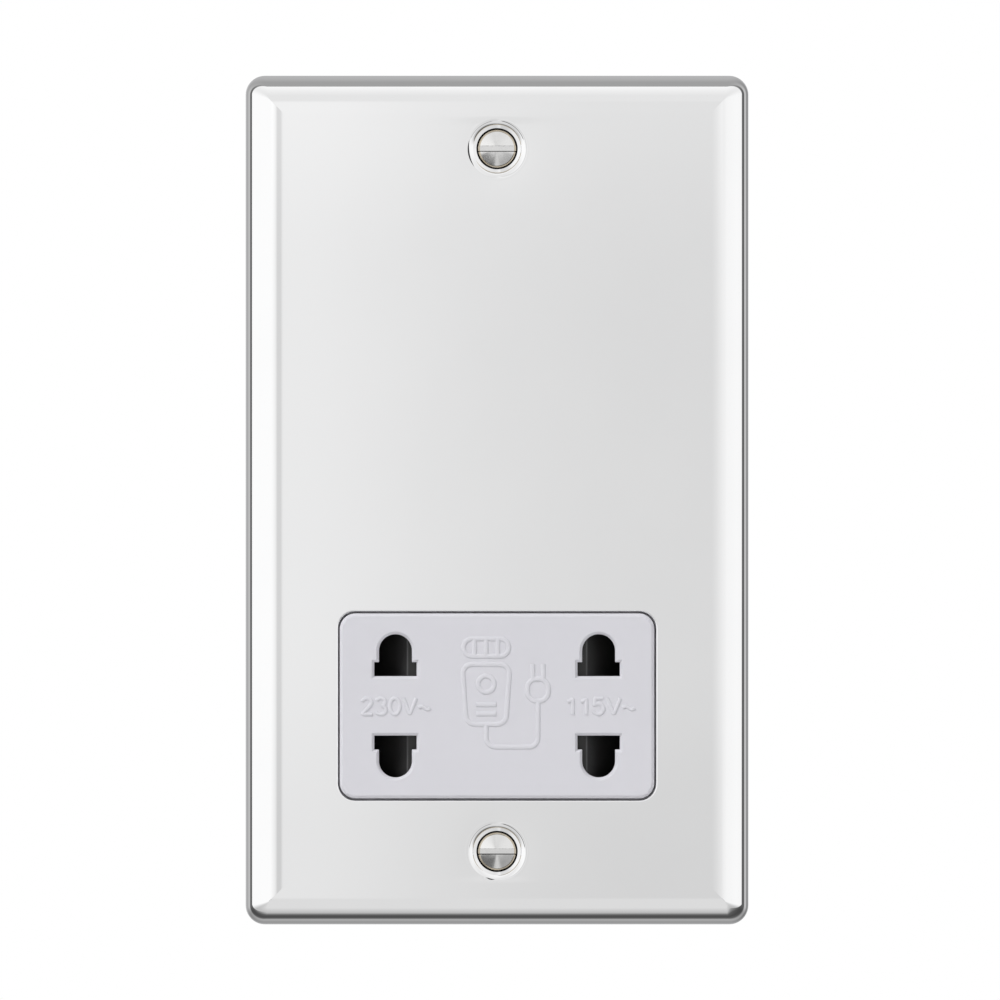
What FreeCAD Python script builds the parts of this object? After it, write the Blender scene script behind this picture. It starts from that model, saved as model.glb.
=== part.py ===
# A dual-voltage shaver socket for a two-gang wall box: a pressed metal plate with a moulded
# insert, an interlocking shutter behind the pin holes, and an isolating transformer above it.
# Frame: X to the right, Z up, Y into the wall. The origin is the middle of the plate's wall plane.
# Depths are given as "out", the distance out of the wall towards the room, so Y is minus out.
import FreeCAD, Part
import math
import operator
import os
from types import SimpleNamespace

import Sketcher
from FreeCAD import Vector

# Driving dimensions in millimetres, each with the alias it has in the document's sheet.
SIZES = {
    # Pressed plate
    "plate_width": 86.5,
    "plate_height": 146.0,
    "plate_depth": 5.0,
    "plate_corner": 3.3,
    "face_corner": 1.4,
    "edge_roll": 5.0,
    "sheet": 1.2,
    "screw_clearance": 7.3,
    "dimple_width": 9.0,
    "dimple_lip": 0.6,
    "dimple_boss": 3.0,
    "aperture_gap": 0.3,
    "clamp_stud_width": 3.0,
    "clamp_stud_across": 40.0,
    "clamp_stud_clearance": 3.2,
    # Fixing screws
    "screw_width": 3.5,
    "screw_neck": 3.1,
    "screw_hole": 4.0,
    "screw_head": 7.0,
    "screw_length": 28.0,
    "screw_dome": 0.7,
    "screw_slot": 1.1,
    "screw_slot_depth": 1.1,
    # Front moulding
    "insert_width": 54.3,
    "insert_height": 32.0,
    "insert_corner": 2.7,
    "insert_proud": 0.3,
    "insert_edge": 0.5,
    "insert_wall": 2.5,
    "flange_width": 66.0,
    "flange_lap": 3.8,
    "flange_corner": 4.0,
    "flange_thick": 2.0,
    "screw_notch": 16.0,
    # Pin holes, measured from the middle of the insert
    "outlet_pitch": 34.9,
    "hole_near": 5.1,
    "hole_far": 12.3,
    "pin_width": 5.65,
    "blade_width": 7.26,
    "blade_height": 2.4,
    "hole_chamfer": 0.45,
    # Interlocking shutter
    "shutter_thick": 5.0,
    "shutter_height": 27.0,
    "shutter_travel": 7.6,
    "shutter_lap": 0.25,
    "ramp_crest": 2.05,
    "ramp_tip": 0.4,
    "slide_gap": 0.2,
    "drive_tab_width": 5.0,
    "drive_tab_length": 11.8,
    "drive_tab_thick": 2.0,
    "spring_length": 24.0,
    "spring_width": 3.6,
    "spring_strip": 1.2,
    # Contacts and the block that holds them
    "contact_depth": 10.8,
    "contact_width": 6.0,
    "contact_strip": 0.5,
    "contact_bend": 0.8,
    "contact_crest": 7.6,
    "pocket_width": 8.6,
    "pocket_near": 4.6,
    "pocket_far": 13.2,
    "tag_width": 3.0,
    "tag_length": 5.0,
    "rail": 1.75,
    "shelf_width": 40.0,
    "shelf_height": 11.0,
    "shelf_thick": 3.4,
    "switch_strip_width": 3.0,
    "switch_strip_length": 25.0,
    "switch_point": 2.0,
    "bridge_thick": 0.8,
    "bridge_width": 3.0,
    "contact_gap": 0.1,
    # Transformer
    "stack": 18.0,
    "core_side_gap": 2.5,
    "core_top_gap": 0.5,
    "wiring_height": 9.5,
    "bobbin_wall": 1.0,
    "bobbin_flange": 1.2,
    "coil_gap": 0.8,
    "winding_inset": 0.6,
    "core_gap": 0.2,
    "cutout_length": 15.0,
    "cutout_width": 6.5,
    "cutout_thick": 3.8,
    "post": 5.0,
    "lead_width": 1.4,
    "lead_clearance": 2.0,
    "lead_rise": 5.0,
    # Rear housing
    "housing_width": 63.0,
    "housing_height": 106.0,
    "housing_wall": 2.0,
    "housing_corner": 3.0,
    "housing_edge": 1.0,
    "deep_depth": 40.4,
    "step_rise": 13.9,
    "vent_length": 24.0,
    "vent_width": 2.0,
    "vent_pitch": 5.0,
    "vent_count": 7,
    "side_vent_length": 18.0,
    # Terminals
    "terminal_across": 24.0,
    "terminal_width": 7.4,
    "terminal_length": 11.0,
    "terminal_depth": 8.8,
    "terminal_bore": 3.8,
    "terminal_cell": 8.0,
    "terminal_screw": 3.0,
    "terminal_head": 5.2,
    "terminal_head_thick": 2.4,
    "shroud_wall": 2.0,
    "shroud_depth": 8.0,
    "earth_length": 9.0,
    "earth_height": 6.0,
    "earth_depth": 9.0,
    "earth_bore": 3.4,
    "nut_across": 5.5,
    "nut_thick": 2.4,
    "thread_gap": 0.05,
    "fit_gap": 0.2,
}

SECTIONS = 5  # steps round the plate's rolled edge
SPRING_FOLDS = 12  # folds of the shutter's spring
LEAD_SIDES = 6  # sides of a lead
LEAD_OVERLAP = 0.45  # how far a lead's runs pass each other at a bend, in widths
QUARTER_TURN = 90.0

doc = FreeCAD.newDocument("shaver_socket")
sheet = doc.addObject("Spreadsheet::Sheet", "sizes")


class Measure(float):
    """A length that keeps the sheet formula it came from, so that it can be bound to a property."""

    def __new__(cls, value, formula=None):
        made = super().__new__(cls, value)
        made.formula = formula or f"({float(value)!r})"
        return made

    def __add__(self, other):
        return combine(self, "+", other)

    def __radd__(self, other):
        return combine(other, "+", self)

    def __sub__(self, other):
        return combine(self, "-", other)

    def __rsub__(self, other):
        return combine(other, "-", self)

    def __mul__(self, other):
        return combine(self, "*", other)

    def __rmul__(self, other):
        return combine(other, "*", self)

    def __truediv__(self, other):
        return combine(self, "/", other)

    def __neg__(self):
        return combine(0.0, "-", self)


OPERATIONS = {"+": operator.add, "-": operator.sub, "*": operator.mul, "/": operator.truediv}


def measure(value):
    return value if isinstance(value, Measure) else Measure(value)


def combine(first, sign, second):
    first, second = measure(first), measure(second)
    value = OPERATIONS[sign](float(first), float(second))
    return Measure(value, f"({first.formula} {sign} {second.formula})")


def least(first, second):
    """The smaller of two measures, also when the sheet changes."""
    return Measure(min(float(first), float(second)), f"min({first.formula}; {second.formula})")


def bind(item, path, value):
    item.setExpression(path, measure(value).formula)


def fill_sheet():
    """Writes the sizes to the sheet and returns them as measures, by name."""
    for row, (alias, value) in enumerate(SIZES.items(), start=1):
        sheet.set(f"A{row}", alias)
        sheet.set(f"B{row}", str(value))
        sheet.setAlias(f"B{row}", alias)
    doc.recompute()
    return SimpleNamespace(**{a: Measure(v, f"sizes.{a}") for a, v in SIZES.items()})


S = fill_sheet()

# Levels out of the wall, from the front of the insert to the back of the housing.
INSERT_FACE = S.plate_depth + S.insert_proud
SHEET_BACK = S.plate_depth - S.sheet
FLANGE_BACK = SHEET_BACK - S.flange_thick
INSERT_BACK = INSERT_FACE - S.insert_wall
SHUTTER_FRONT = INSERT_BACK - S.slide_gap
SHUTTER_BACK = SHUTTER_FRONT - S.shutter_thick
CHANNEL_FLOOR = SHUTTER_BACK - S.slide_gap
CARRIER_BACK = CHANNEL_FLOOR - S.contact_depth
CLAMP_BACK = FLANGE_BACK - S.flange_thick
SHALLOW_BACK = CARRIER_BACK - S.housing_wall
DEEP_FLOOR = -S.deep_depth + S.housing_wall
CORE_MIDDLE = (FLANGE_BACK + DEEP_FLOOR + S.cutout_thick / 2) / 2
CORE_FRONT = CORE_MIDDLE + S.stack / 2
CORE_BACK = CORE_MIDDLE - S.stack / 2

# Half widths and heights that several pieces share. The housing sets the rest: the insert sits
# above its lower end, the core below its upper end, and the studs and screws just outside it.
INNER_HALF = S.housing_width / 2 - S.housing_wall
INNER_TOP = S.housing_height / 2 - S.housing_wall
FIXING_UP = S.housing_height / 2 + S.screw_clearance
CLAMP_UP = S.housing_height / 2 + S.clamp_stud_clearance
CARRIER_HALF = INNER_HALF - S.fit_gap
CHANNEL_HALF = S.shutter_height / 2 + S.slide_gap
INSERT_UP = S.fit_gap + S.rail + CHANNEL_HALF - INNER_TOP
CARRIER_TOP = INSERT_UP + CHANNEL_HALF + S.rail
CARRIER_BOTTOM = INSERT_UP - CHANNEL_HALF - S.rail
SHUTTER_HALF = S.outlet_pitch / 2 + S.blade_width / 2 + S.shutter_lap
SHELF_FRONT = SHUTTER_BACK - S.bridge_thick - S.contact_gap - S.contact_strip - S.contact_gap * 8
STEP_UP = CARRIER_TOP + S.step_rise
DEEP_BOTTOM = STEP_UP + S.housing_wall
CORE_TOP = INNER_TOP - S.core_top_gap
UNIT = least((INNER_HALF - S.core_side_gap) / 3, (CORE_TOP - S.wiring_height - DEEP_BOTTOM) / 5)
CORE_BOTTOM = CORE_TOP - UNIT * 5
COIL_BUILD = UNIT - S.core_gap - S.bobbin_wall - S.coil_gap
LEAD_UP = DEEP_BOTTOM + S.lead_rise
LEAD_ACROSS = UNIT * 3 - S.post - S.lead_clearance
SIDES = (-1, 1)


class Outline:
    """A closed loop. Each stretch is the place where it ends, (u, v), and a round one adds
    its radius and its turn: 1 anticlockwise, -1 clockwise, never more than half a turn."""

    def __init__(self, *stretches):
        self.stretches = stretches

    def trace(self, sketch, place, mirrored):
        ends = [place(measure(s[0]), measure(s[1])) for s in self.stretches]
        drawn = []
        for number, stretch in enumerate(self.stretches):
            start, end = Vector(*ends[number - 1]), Vector(*ends[number])
            if len(stretch) == 2:
                line = sketch.addGeometry(Part.LineSegment(start, end), False)
                drawn.append((line, 1, 2))
                continue
            turn = -stretch[3] if mirrored else stretch[3]
            arc = sketch.addGeometry(arc_between(start, end, float(stretch[2]), turn), False)
            drawn.append((arc, 1, 2) if turn > 0 else (arc, 2, 1))
            constrain(sketch, stretch[2], "Radius", arc)
        for number, (item, _, last) in enumerate(drawn):
            following = drawn[(number + 1) % len(drawn)]
            join = Sketcher.Constraint("Coincident", item, last, following[0], following[1])
            sketch.addConstraint(join)
            constrain(sketch, ends[number][0], "DistanceX", -1, 1, item, last)
            constrain(sketch, ends[number][1], "DistanceY", -1, 1, item, last)


class Circle:
    """A round loop at (u, v)."""

    def __init__(self, u, v, radius):
        self.middle, self.radius = (measure(u), measure(v)), measure(radius)

    def trace(self, sketch, place, mirrored):
        u, v = place(*self.middle)
        shape = Part.Circle(Vector(u, v), Vector(0, 0, 1), float(self.radius))
        item = sketch.addGeometry(shape, False)
        constrain(sketch, self.radius, "Radius", item)
        constrain(sketch, u, "DistanceX", -1, 1, item, 3)
        constrain(sketch, v, "DistanceY", -1, 1, item, 3)


def arc_between(start, end, radius, turn):
    chord = end - start
    rise = math.sqrt(max(radius**2 - (chord.Length / 2) ** 2, 0.0))
    left = Vector(-chord.y, chord.x).normalize()
    middle = (start + end) / 2 + left * rise * turn
    first, last = (start, end) if turn > 0 else (end, start)
    angles = [math.atan2(p.y - middle.y, p.x - middle.x) for p in (first, last)]
    return Part.ArcOfCircle(Part.Circle(middle, Vector(0, 0, 1), radius), *angles)


def constrain(sketch, value, *words):
    number = sketch.addConstraint(Sketcher.Constraint(*words, float(value)))
    bind(sketch, f"Constraints[{number}]", value)


def box(left, right, bottom, top):
    return Outline((left, bottom), (right, bottom), (right, top), (left, top))


def rounded(left, right, bottom, top, radius):
    return Outline(
        (right - radius, bottom),
        (right, bottom + radius, radius, 1),
        (right, top - radius),
        (right - radius, top, radius, 1),
        (left + radius, top),
        (left, top - radius, radius, 1),
        (left, bottom + radius),
        (left + radius, bottom, radius, 1),
    )


def centred(half_width, half_height, radius, up=0.0):
    return rounded(-half_width, half_width, up - half_height, up + half_height, radius)


# Each sketching direction: the origin plane, how a loop's (u, v) lies on it, and whether that mirrors it.
# Loops on "front" are (x, z) and rise out of the wall, on "side" (out, z) along X, on "top" (x, out) up Z.
DIRECTIONS = {
    "front": ("XZ_Plane", lambda u, v: (u, v), False),
    "side": ("YZ_Plane", lambda u, v: (-u, v), True),
    "top": ("XY_Plane", lambda u, v: (u, -v), True),
}


def new_body(label):
    body = doc.addObject("PartDesign::Body", label)
    body.Label = label
    return body


def draw(body, name, direction, level, loops):
    role, place, mirrored = DIRECTIONS[direction]
    sketch = body.newObject("Sketcher::SketchObject", f"{name}_sketch")
    plane = next(f for f in body.Origin.OriginFeatures if f.Role == role)
    sketch.AttachmentSupport = [(plane, "")]
    sketch.MapMode = "FlatFace"
    bind(sketch, "AttachmentOffset.Base.z", level)
    for loop in loops:
        loop.trace(sketch, place, mirrored)
    return sketch


def grow(body, name, direction, low, high, *loops):
    """Adds a prism between two levels."""
    pad = body.newObject("PartDesign::Pad", name)
    pad.Profile = draw(body, name, direction, low, loops)
    bind(pad, "Length", high - low)
    return pad


def carve(body, name, direction, low, high, *loops):
    """Removes a prism between two levels."""
    pocket = body.newObject("PartDesign::Pocket", name)
    pocket.Profile = draw(body, name, direction, high, loops)
    bind(pocket, "Length", high - low)
    return pocket


def turn(body, kind, name, x, z, loop):
    """Turns a loop of (out, radius) about the line out of the wall at (x, z)."""
    feature = body.newObject(f"PartDesign::{kind}", name)
    sketch = draw(body, name, "side", x, [loop])
    bind(sketch, "AttachmentOffset.Base.y", z)
    feature.Profile = sketch
    feature.ReferenceAxis = (sketch, ["H_Axis"])
    return feature


def group(label, members):
    """One node of several separate solids."""
    compound = doc.addObject("Part::Compound", label)
    compound.Label = label
    compound.Links = members
    return compound


def fixing_places():
    return [("upper", FIXING_UP), ("lower", -FIXING_UP)]


def clamp_places():
    across, up = S.clamp_stud_across / 2, CLAMP_UP
    return [(f"clamp_{i}", x, z) for i, (x, z) in enumerate(
        [(across, up), (-across, up), (across, -up), (-across, -up)])]


# Pressed plate


def pressing(body, kind, name, half_width, half_height, depth, roll, corner):
    """Stacks outlines that follow a quarter-round edge from the wall to the face."""
    sections = []
    for step in range(SECTIONS + 1):
        angle = math.radians(QUARTER_TURN * step / SECTIONS)
        share = 1 - math.cos(angle)
        inset = roll * share
        radius = corner + (S.face_corner - corner) * share
        loop = centred(half_width - inset, half_height - inset, radius)
        sections.append(draw(body, f"{name}_{step}", "front", depth * math.sin(angle), [loop]))
    loft = body.newObject(f"PartDesign::{kind}", name)
    loft.Profile = sections[0]
    loft.Sections = sections[1:]
    loft.Ruled = True
    return loft


def front_plate():
    body = new_body("front_plate")
    half_width, half_height = S.plate_width / 2, S.plate_height / 2
    pressing(body, "AdditiveLoft", "outside", half_width, half_height,
             S.plate_depth, S.edge_roll, S.plate_corner)
    pressing(body, "SubtractiveLoft", "inside", half_width - S.sheet, half_height - S.sheet,
             SHEET_BACK, S.edge_roll - S.sheet, S.plate_corner - S.sheet)
    head_seat = S.plate_depth - S.dimple_lip
    hole_start = head_seat - (S.screw_head - S.screw_hole) / 2
    boss_back = S.plate_depth - S.dimple_boss
    for name, up in fixing_places():
        turn(body, "Revolution", f"{name}_boss", 0.0, up, Outline(
            (SHEET_BACK + S.sheet / 2, 0.0),
            (SHEET_BACK + S.sheet / 2, S.dimple_width / 2 + S.sheet),
            (SHEET_BACK, S.dimple_width / 2 + S.sheet),
            (boss_back, S.screw_hole / 2 + S.sheet),
            (boss_back, 0.0),
        ))
        turn(body, "Groove", f"{name}_dimple", 0.0, up, Outline(
            (S.plate_depth + S.sheet, 0.0),
            (S.plate_depth + S.sheet, S.dimple_width / 2),
            (S.plate_depth, S.dimple_width / 2),
            (head_seat, S.screw_head / 2),
            (hole_start, S.screw_hole / 2),
            (boss_back - S.sheet, S.screw_hole / 2),
            (boss_back - S.sheet, 0.0),
        ))
    carve(body, "aperture", "front", SHEET_BACK, S.plate_depth, centred(
        S.insert_width / 2 + S.aperture_gap, S.insert_height / 2 + S.aperture_gap,
        S.insert_corner + S.aperture_gap, INSERT_UP))
    stud_tip = CLAMP_BACK - S.nut_thick - S.thread_gap * 20
    for name, x, z in clamp_places():
        grow(body, f"{name}_stud", "front", stud_tip, SHEET_BACK, Circle(x, z, S.clamp_stud_width / 2))
    return body


def fixing_screws():
    """Raised countersunk screws, slotted, with a neck that widens to the thread behind the plate."""
    members = []
    seat = S.plate_depth - S.dimple_lip + S.thread_gap
    neck_start = seat - (S.screw_head - S.screw_neck) / 2
    thread_start = S.plate_depth - S.dimple_boss - S.sheet
    tip = seat - S.screw_length
    for name, up in fixing_places():
        body = new_body(f"{name}_fixing_screw")
        turn(body, "Revolution", f"{name}_turning", 0.0, up, Outline(
            (seat + S.screw_dome, 0.0),
            (seat + S.screw_dome * 0.75, S.screw_head / 4),
            (seat, S.screw_head / 2),
            (neck_start, S.screw_neck / 2),
            (thread_start, S.screw_width / 2),
            (tip, S.screw_width / 2),
            (tip, 0.0),
        ))
        top = seat + S.screw_dome
        carve(body, f"{name}_slot", "front", top - S.screw_slot_depth, top, box(
            -S.screw_head, S.screw_head, up - S.screw_slot / 2, up + S.screw_slot / 2))
        members.append(body)
    return group("fixing_screws", members)


# Front moulding and shutter


def pin_hole(x, sign):
    """A round-ended pin hole that widens into a blade slot on the side nearest the middle."""
    near, far = INSERT_UP + S.hole_near * sign, INSERT_UP + S.hole_far * sign
    shoulder = near + S.blade_height * sign
    pin, blade = S.pin_width / 2, S.blade_width / 2
    spring_line = far - pin * sign
    return Outline(
        (x - blade, near),
        (x + blade, near),
        (x + blade, shoulder),
        (x + pin, shoulder),
        (x + pin, spring_line),
        (x, far, pin, sign),
        (x - pin, spring_line, pin, sign),
        (x - pin, shoulder),
        (x - blade, shoulder),
    )


def outlets():
    """The four pin holes as (name, x, 1 for an upper hole or -1 for a lower one)."""
    return [(f"{row}_{column}", S.outlet_pitch / 2 * side, sign)
            for row, sign in (("upper", 1), ("lower", -1))
            for column, side in (("left", -1), ("right", 1))]


def edges_at(body, out, wanted=lambda x, z: True):
    """Names of the edges that lie in the plane at this level and that wanted(x, z) accepts."""
    names = []
    for number, edge in enumerate(body.Shape.Edges, start=1):
        bounds = edge.BoundBox
        if max(abs(bounds.YMin + out), abs(bounds.YMax + out)) < 1e-4:
            middle = bounds.Center
            if wanted(middle.x, middle.z):
                names.append(f"Edge{number}")
    return names


def dress(body, kind, name, edges, prop, size):
    base = body.Tip
    feature = body.newObject(f"PartDesign::{kind}", name)
    feature.Base = (base, edges)
    bind(feature, prop, size)
    return feature


def mounting_flange(body, name, low, high):
    """The flange that both mouldings share, clear of the fixing screws and drilled for the clamp studs."""
    grow(body, name, "front", low, high, centred(
        S.flange_width / 2, CLAMP_UP + S.flange_lap, S.flange_corner))


def flange_holes(body, name, low, high):
    notches = [Circle(0.0, up, S.screw_notch / 2) for _, up in fixing_places()]
    holes = [Circle(x, z, S.clamp_stud_width / 2 + S.fit_gap) for _, x, z in clamp_places()]
    carve(body, name, "front", low, high, *notches, *holes)


def core_corners():
    """Middles of the four posts that grip the core, as (name, x, z)."""
    unit, half = UNIT, S.post / 2
    bottom, top = CORE_BOTTOM + half, CORE_TOP - half
    across = unit * 3 - half
    return [("lower_right", across, bottom), ("lower_left", -across, bottom),
            ("upper_right", across, top), ("upper_left", -across, top)]


def front_moulding():
    body = new_body("front_moulding")
    mounting_flange(body, "flange", FLANGE_BACK, SHEET_BACK)
    grow(body, "insert", "front", FLANGE_BACK, INSERT_FACE, centred(
        S.insert_width / 2, S.insert_height / 2, S.insert_corner, INSERT_UP))
    for name, x, z in core_corners():
        grow(body, f"{name}_post", "front", CORE_FRONT, FLANGE_BACK, box(
            x - S.post / 2, x + S.post / 2, z - S.post / 2, z + S.post / 2))
    flange_holes(body, "flange_cuts", FLANGE_BACK, SHEET_BACK)
    carve(body, "shutter_recess", "front", FLANGE_BACK, INSERT_BACK, box(
        -INNER_HALF, INNER_HALF, INSERT_UP - CHANNEL_HALF, INSERT_UP + CHANNEL_HALF))
    carve(body, "pin_holes", "front", INSERT_BACK, INSERT_FACE,
          *[pin_hole(x, sign) for _, x, sign in outlets()])
    doc.recompute()
    inside = S.insert_width / 2 - S.insert_corner
    inside_up = S.insert_height / 2 - S.insert_corner
    holes = edges_at(
        body, INSERT_FACE, lambda x, z: abs(x) < inside and abs(z - INSERT_UP) < inside_up)
    dress(body, "Chamfer", "hole_chamfers", holes, "Size", S.hole_chamfer)
    doc.recompute()
    rim = edges_at(
        body, INSERT_FACE, lambda x, z: abs(x) > inside or abs(z - INSERT_UP) > inside_up)
    dress(body, "Chamfer", "insert_edge", rim, "Size", S.insert_edge)
    return body


def interlock_shutter():
    """One slide for both outlets: a plug's pins push a ramp aside, and that shifts a blank over the other."""
    body = new_body("interlock_shutter")
    crest = S.outlet_pitch / 2 - S.ramp_crest
    tip = SHUTTER_BACK + S.ramp_tip
    low, high = INSERT_UP - S.shutter_height / 2, INSERT_UP + S.shutter_height / 2
    grow(body, "slide", "top", low, high, Outline(
        (-SHUTTER_HALF, SHUTTER_BACK), (SHUTTER_HALF, SHUTTER_BACK), (SHUTTER_HALF, tip),
        (crest, SHUTTER_FRONT), (-crest, SHUTTER_FRONT), (-SHUTTER_HALF, tip)))
    grow(body, "drive_tab", "front", SHUTTER_BACK, SHUTTER_BACK + S.drive_tab_thick, box(
        -S.drive_tab_width / 2, S.drive_tab_width / 2, high - S.rail, high + S.drive_tab_length))
    half = S.spring_width / 2 + S.slide_gap
    carve(body, "spring_window", "front", SHUTTER_BACK, SHUTTER_FRONT - S.ramp_tip * 3, box(
        -S.spring_length / 2, S.spring_length / 2, INSERT_UP - half, INSERT_UP + half))
    return body


def bridge_contact():
    """Brass bridge on the shutter's tab, which joins the two switch strips at either end of the travel."""
    body = new_body("bridge_contact")
    high = INSERT_UP + S.shutter_height / 2 + S.drive_tab_length
    low = high - S.switch_strip_width * 3
    grow(body, "bridge", "front", SHUTTER_BACK - S.bridge_thick, SHUTTER_BACK, box(
        -S.bridge_width / 2, S.bridge_width / 2, low, high))
    return body


def centring_spring():
    """Folded strip spring shared by a window in the shutter and a groove in the contact block."""
    body = new_body("centring_spring")
    step, half, rise = S.spring_length / SPRING_FOLDS, S.spring_length / 2, S.spring_width / 2
    low, high = INSERT_UP - rise, INSERT_UP + rise - S.spring_strip
    folds = [(step * n - half, high if n % 2 else low) for n in range(SPRING_FOLDS + 1)]
    under = [(x, z + S.spring_strip) for x, z in reversed(folds)]
    grow(body, "strip", "front", SHUTTER_BACK - rise, SHUTTER_BACK + rise, Outline(*folds, *under))
    return body


# Contacts


def contact_block():
    """Black moulding behind the shutter, with a guide channel, four contact pockets and a switch shelf."""
    body = new_body("contact_block")
    grow(body, "block", "front", CARRIER_BACK, FLANGE_BACK, rounded(
        -CARRIER_HALF, CARRIER_HALF, CARRIER_BOTTOM, CARRIER_TOP, S.housing_corner - S.housing_wall))
    grow(body, "shelf", "front", SHELF_FRONT - S.shelf_thick, SHELF_FRONT, box(
        -S.shelf_width / 2, S.shelf_width / 2, CARRIER_TOP - S.rail, CARRIER_TOP + S.shelf_height))
    carve(body, "channel", "front", CHANNEL_FLOOR, FLANGE_BACK, box(
        -INNER_HALF, INNER_HALF, INSERT_UP - CHANNEL_HALF, INSERT_UP + CHANNEL_HALF))
    tag_low, tag_high = tag_levels()
    live = S.terminal_across / 2
    carve(body, "live_tag_way", "front", SHELF_FRONT - S.shelf_thick, SHELF_FRONT, box(
        live - S.contact_strip - S.fit_gap, live + S.contact_strip + S.fit_gap,
        tag_low - S.fit_gap, tag_high + S.fit_gap))
    reach = S.drive_tab_width / 2 + S.shutter_travel + S.slide_gap * 2
    carve(body, "tab_way", "front", SHELF_FRONT, FLANGE_BACK, box(
        -reach, reach, CARRIER_TOP - S.rail * 2, CARRIER_TOP + S.rail))
    half = S.spring_width / 2 + S.slide_gap
    carve(body, "spring_groove", "front", CHANNEL_FLOOR - half, CHANNEL_FLOOR, box(
        -S.spring_length / 2, S.spring_length / 2, INSERT_UP - half, INSERT_UP + half))
    for name, x, sign in outlets():
        near, far = INSERT_UP + S.pocket_near * sign, INSERT_UP + S.pocket_far * sign
        carve(body, f"{name}_pocket", "front", CARRIER_BACK, CHANNEL_FLOOR, box(
            x - S.pocket_width / 2, x + S.pocket_width / 2, min(near, far), max(near, far)))
    tag = S.tag_width / 2 + S.slide_gap
    groove_floor = CARRIER_BACK + S.contact_strip * 2
    pocket_top, bus_top = INSERT_UP + S.pocket_far, bus_levels()[1] + S.slide_gap
    bus_half = S.outlet_pitch / 2
    grooves = [("left", -bus_half, pocket_top), ("middle", 0.0, bus_top), ("right", bus_half, pocket_top)]
    for name, x, low in grooves:
        carve(body, f"{name}_tag_groove", "front", CARRIER_BACK, groove_floor, box(
            x - tag, x + tag, low - S.rail, CARRIER_TOP + S.rail))
    carve(body, "bus_groove", "front", CARRIER_BACK, groove_floor, box(
        -bus_half, bus_half, INSERT_UP - S.pocket_far, bus_top))
    return body


def bus_levels():
    """Bottom and top of the strip that joins the two lower contacts."""
    bottom = INSERT_UP - S.pocket_far + S.fit_gap
    return bottom, bottom + S.tag_width


def leaf(body, name, x, sign):
    """A folded spring leaf: a leg along the pocket's outer wall, bent back to press on the pin."""
    strip, bend = S.contact_strip, S.contact_bend
    outer = INSERT_UP + (S.pocket_far - S.fit_gap) * sign
    inner = outer - strip * sign
    crest = INSERT_UP + S.contact_crest * sign
    fold = CHANNEL_FLOOR - bend
    pinch = (CHANNEL_FLOOR + CARRIER_BACK) / 2
    flare_end = CARRIER_BACK + S.contact_depth / 7
    flare = crest + bend * 2 * sign
    back = CARRIER_BACK + strip / 2
    loop = Outline(
        (back, outer),
        (fold - bend, outer),
        (fold, outer - bend * sign, bend, -sign),
        (fold - bend / 2, outer - bend * 2 * sign),
        (pinch, crest),
        (flare_end, flare),
        (flare_end, flare + strip * sign),
        (pinch, crest + strip * sign),
        (fold - bend, inner - bend * sign),
        (fold - bend * 2, inner),
        (back, inner),
    )
    grow(body, name, "side", x - S.contact_width / 2, x + S.contact_width / 2, loop)


def tagged_contact(label, x):
    """An upper contact with a solder tag that rises past the top of the block."""
    body = new_body(label)
    leaf(body, "leaf", x, 1)
    add_tag(body, x, INSERT_UP + S.pocket_far - S.fit_gap - S.contact_strip)
    return body


def add_tag(body, x, low):
    back = CARRIER_BACK + S.contact_strip / 2
    grow(body, "solder_tag", "front", back, back + S.contact_strip, box(
        x - S.tag_width / 2, x + S.tag_width / 2, low, CARRIER_TOP + S.tag_length))


def common_contact():
    """Both lower leaves on one strip, with a single tag up the back of the block."""
    body = new_body("common_contact")
    low, high = bus_levels()
    back, half = CARRIER_BACK + S.contact_strip / 2, (S.outlet_pitch + S.contact_width) / 2
    grow(body, "bus", "front", back, back + S.contact_strip, box(-half, half, low, high))
    for name, x, sign in outlets():
        if sign < 0:
            leaf(body, f"{name}_leaf", x, sign)
    add_tag(body, 0.0, low)
    return body


def switch_strip(label, row):
    """A flat strip on the shelf with a raised point at each end of the bridge's travel."""
    body = new_body(label)
    top = INSERT_UP + S.shutter_height / 2 + S.drive_tab_length - S.switch_strip_width * 2 * row
    low = top - S.switch_strip_width
    face = SHELF_FRONT + S.contact_strip
    grow(body, "strip", "front", SHELF_FRONT, face, box(
        -S.switch_strip_length / 2, S.switch_strip_length / 2, low, top))
    middle = low + S.switch_strip_width / 2
    half = S.switch_point / 2
    places = [S.shutter_travel * side for side in SIDES]
    points = [box(x - half, x + half, middle - half, middle + half) for x in places]
    grow(body, "points", "front", face, SHUTTER_BACK - S.bridge_thick - S.contact_gap, *points)
    return body


# Transformer


def core_e_stack():
    body = new_body("core_e_stack")
    unit = UNIT
    bottom, top = CORE_BOTTOM + unit, CORE_TOP
    yoke = top - unit
    grow(body, "laminations", "front", CORE_BACK, CORE_FRONT, Outline(
        (-unit * 3, top), (-unit * 3, bottom), (-unit * 2, bottom), (-unit * 2, yoke),
        (-unit, yoke), (-unit, bottom), (unit, bottom), (unit, yoke),
        (unit * 2, yoke), (unit * 2, bottom), (unit * 3, bottom), (unit * 3, top)))
    return body


def core_i_stack():
    body = new_body("core_i_stack")
    unit = UNIT
    grow(body, "laminations", "front", CORE_BACK, CORE_FRONT, box(
        -unit * 3, unit * 3, CORE_BOTTOM, CORE_BOTTOM + unit))
    return body


def coil_levels():
    """Bottom and top of the bobbin in the core's windows, and the height of one winding chamber."""
    bottom = CORE_BOTTOM + UNIT + S.core_gap
    top = CORE_BOTTOM + UNIT * 4 - S.core_gap
    chamber = (top - bottom - S.bobbin_flange * 3) / 2
    return bottom, top, chamber


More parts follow.
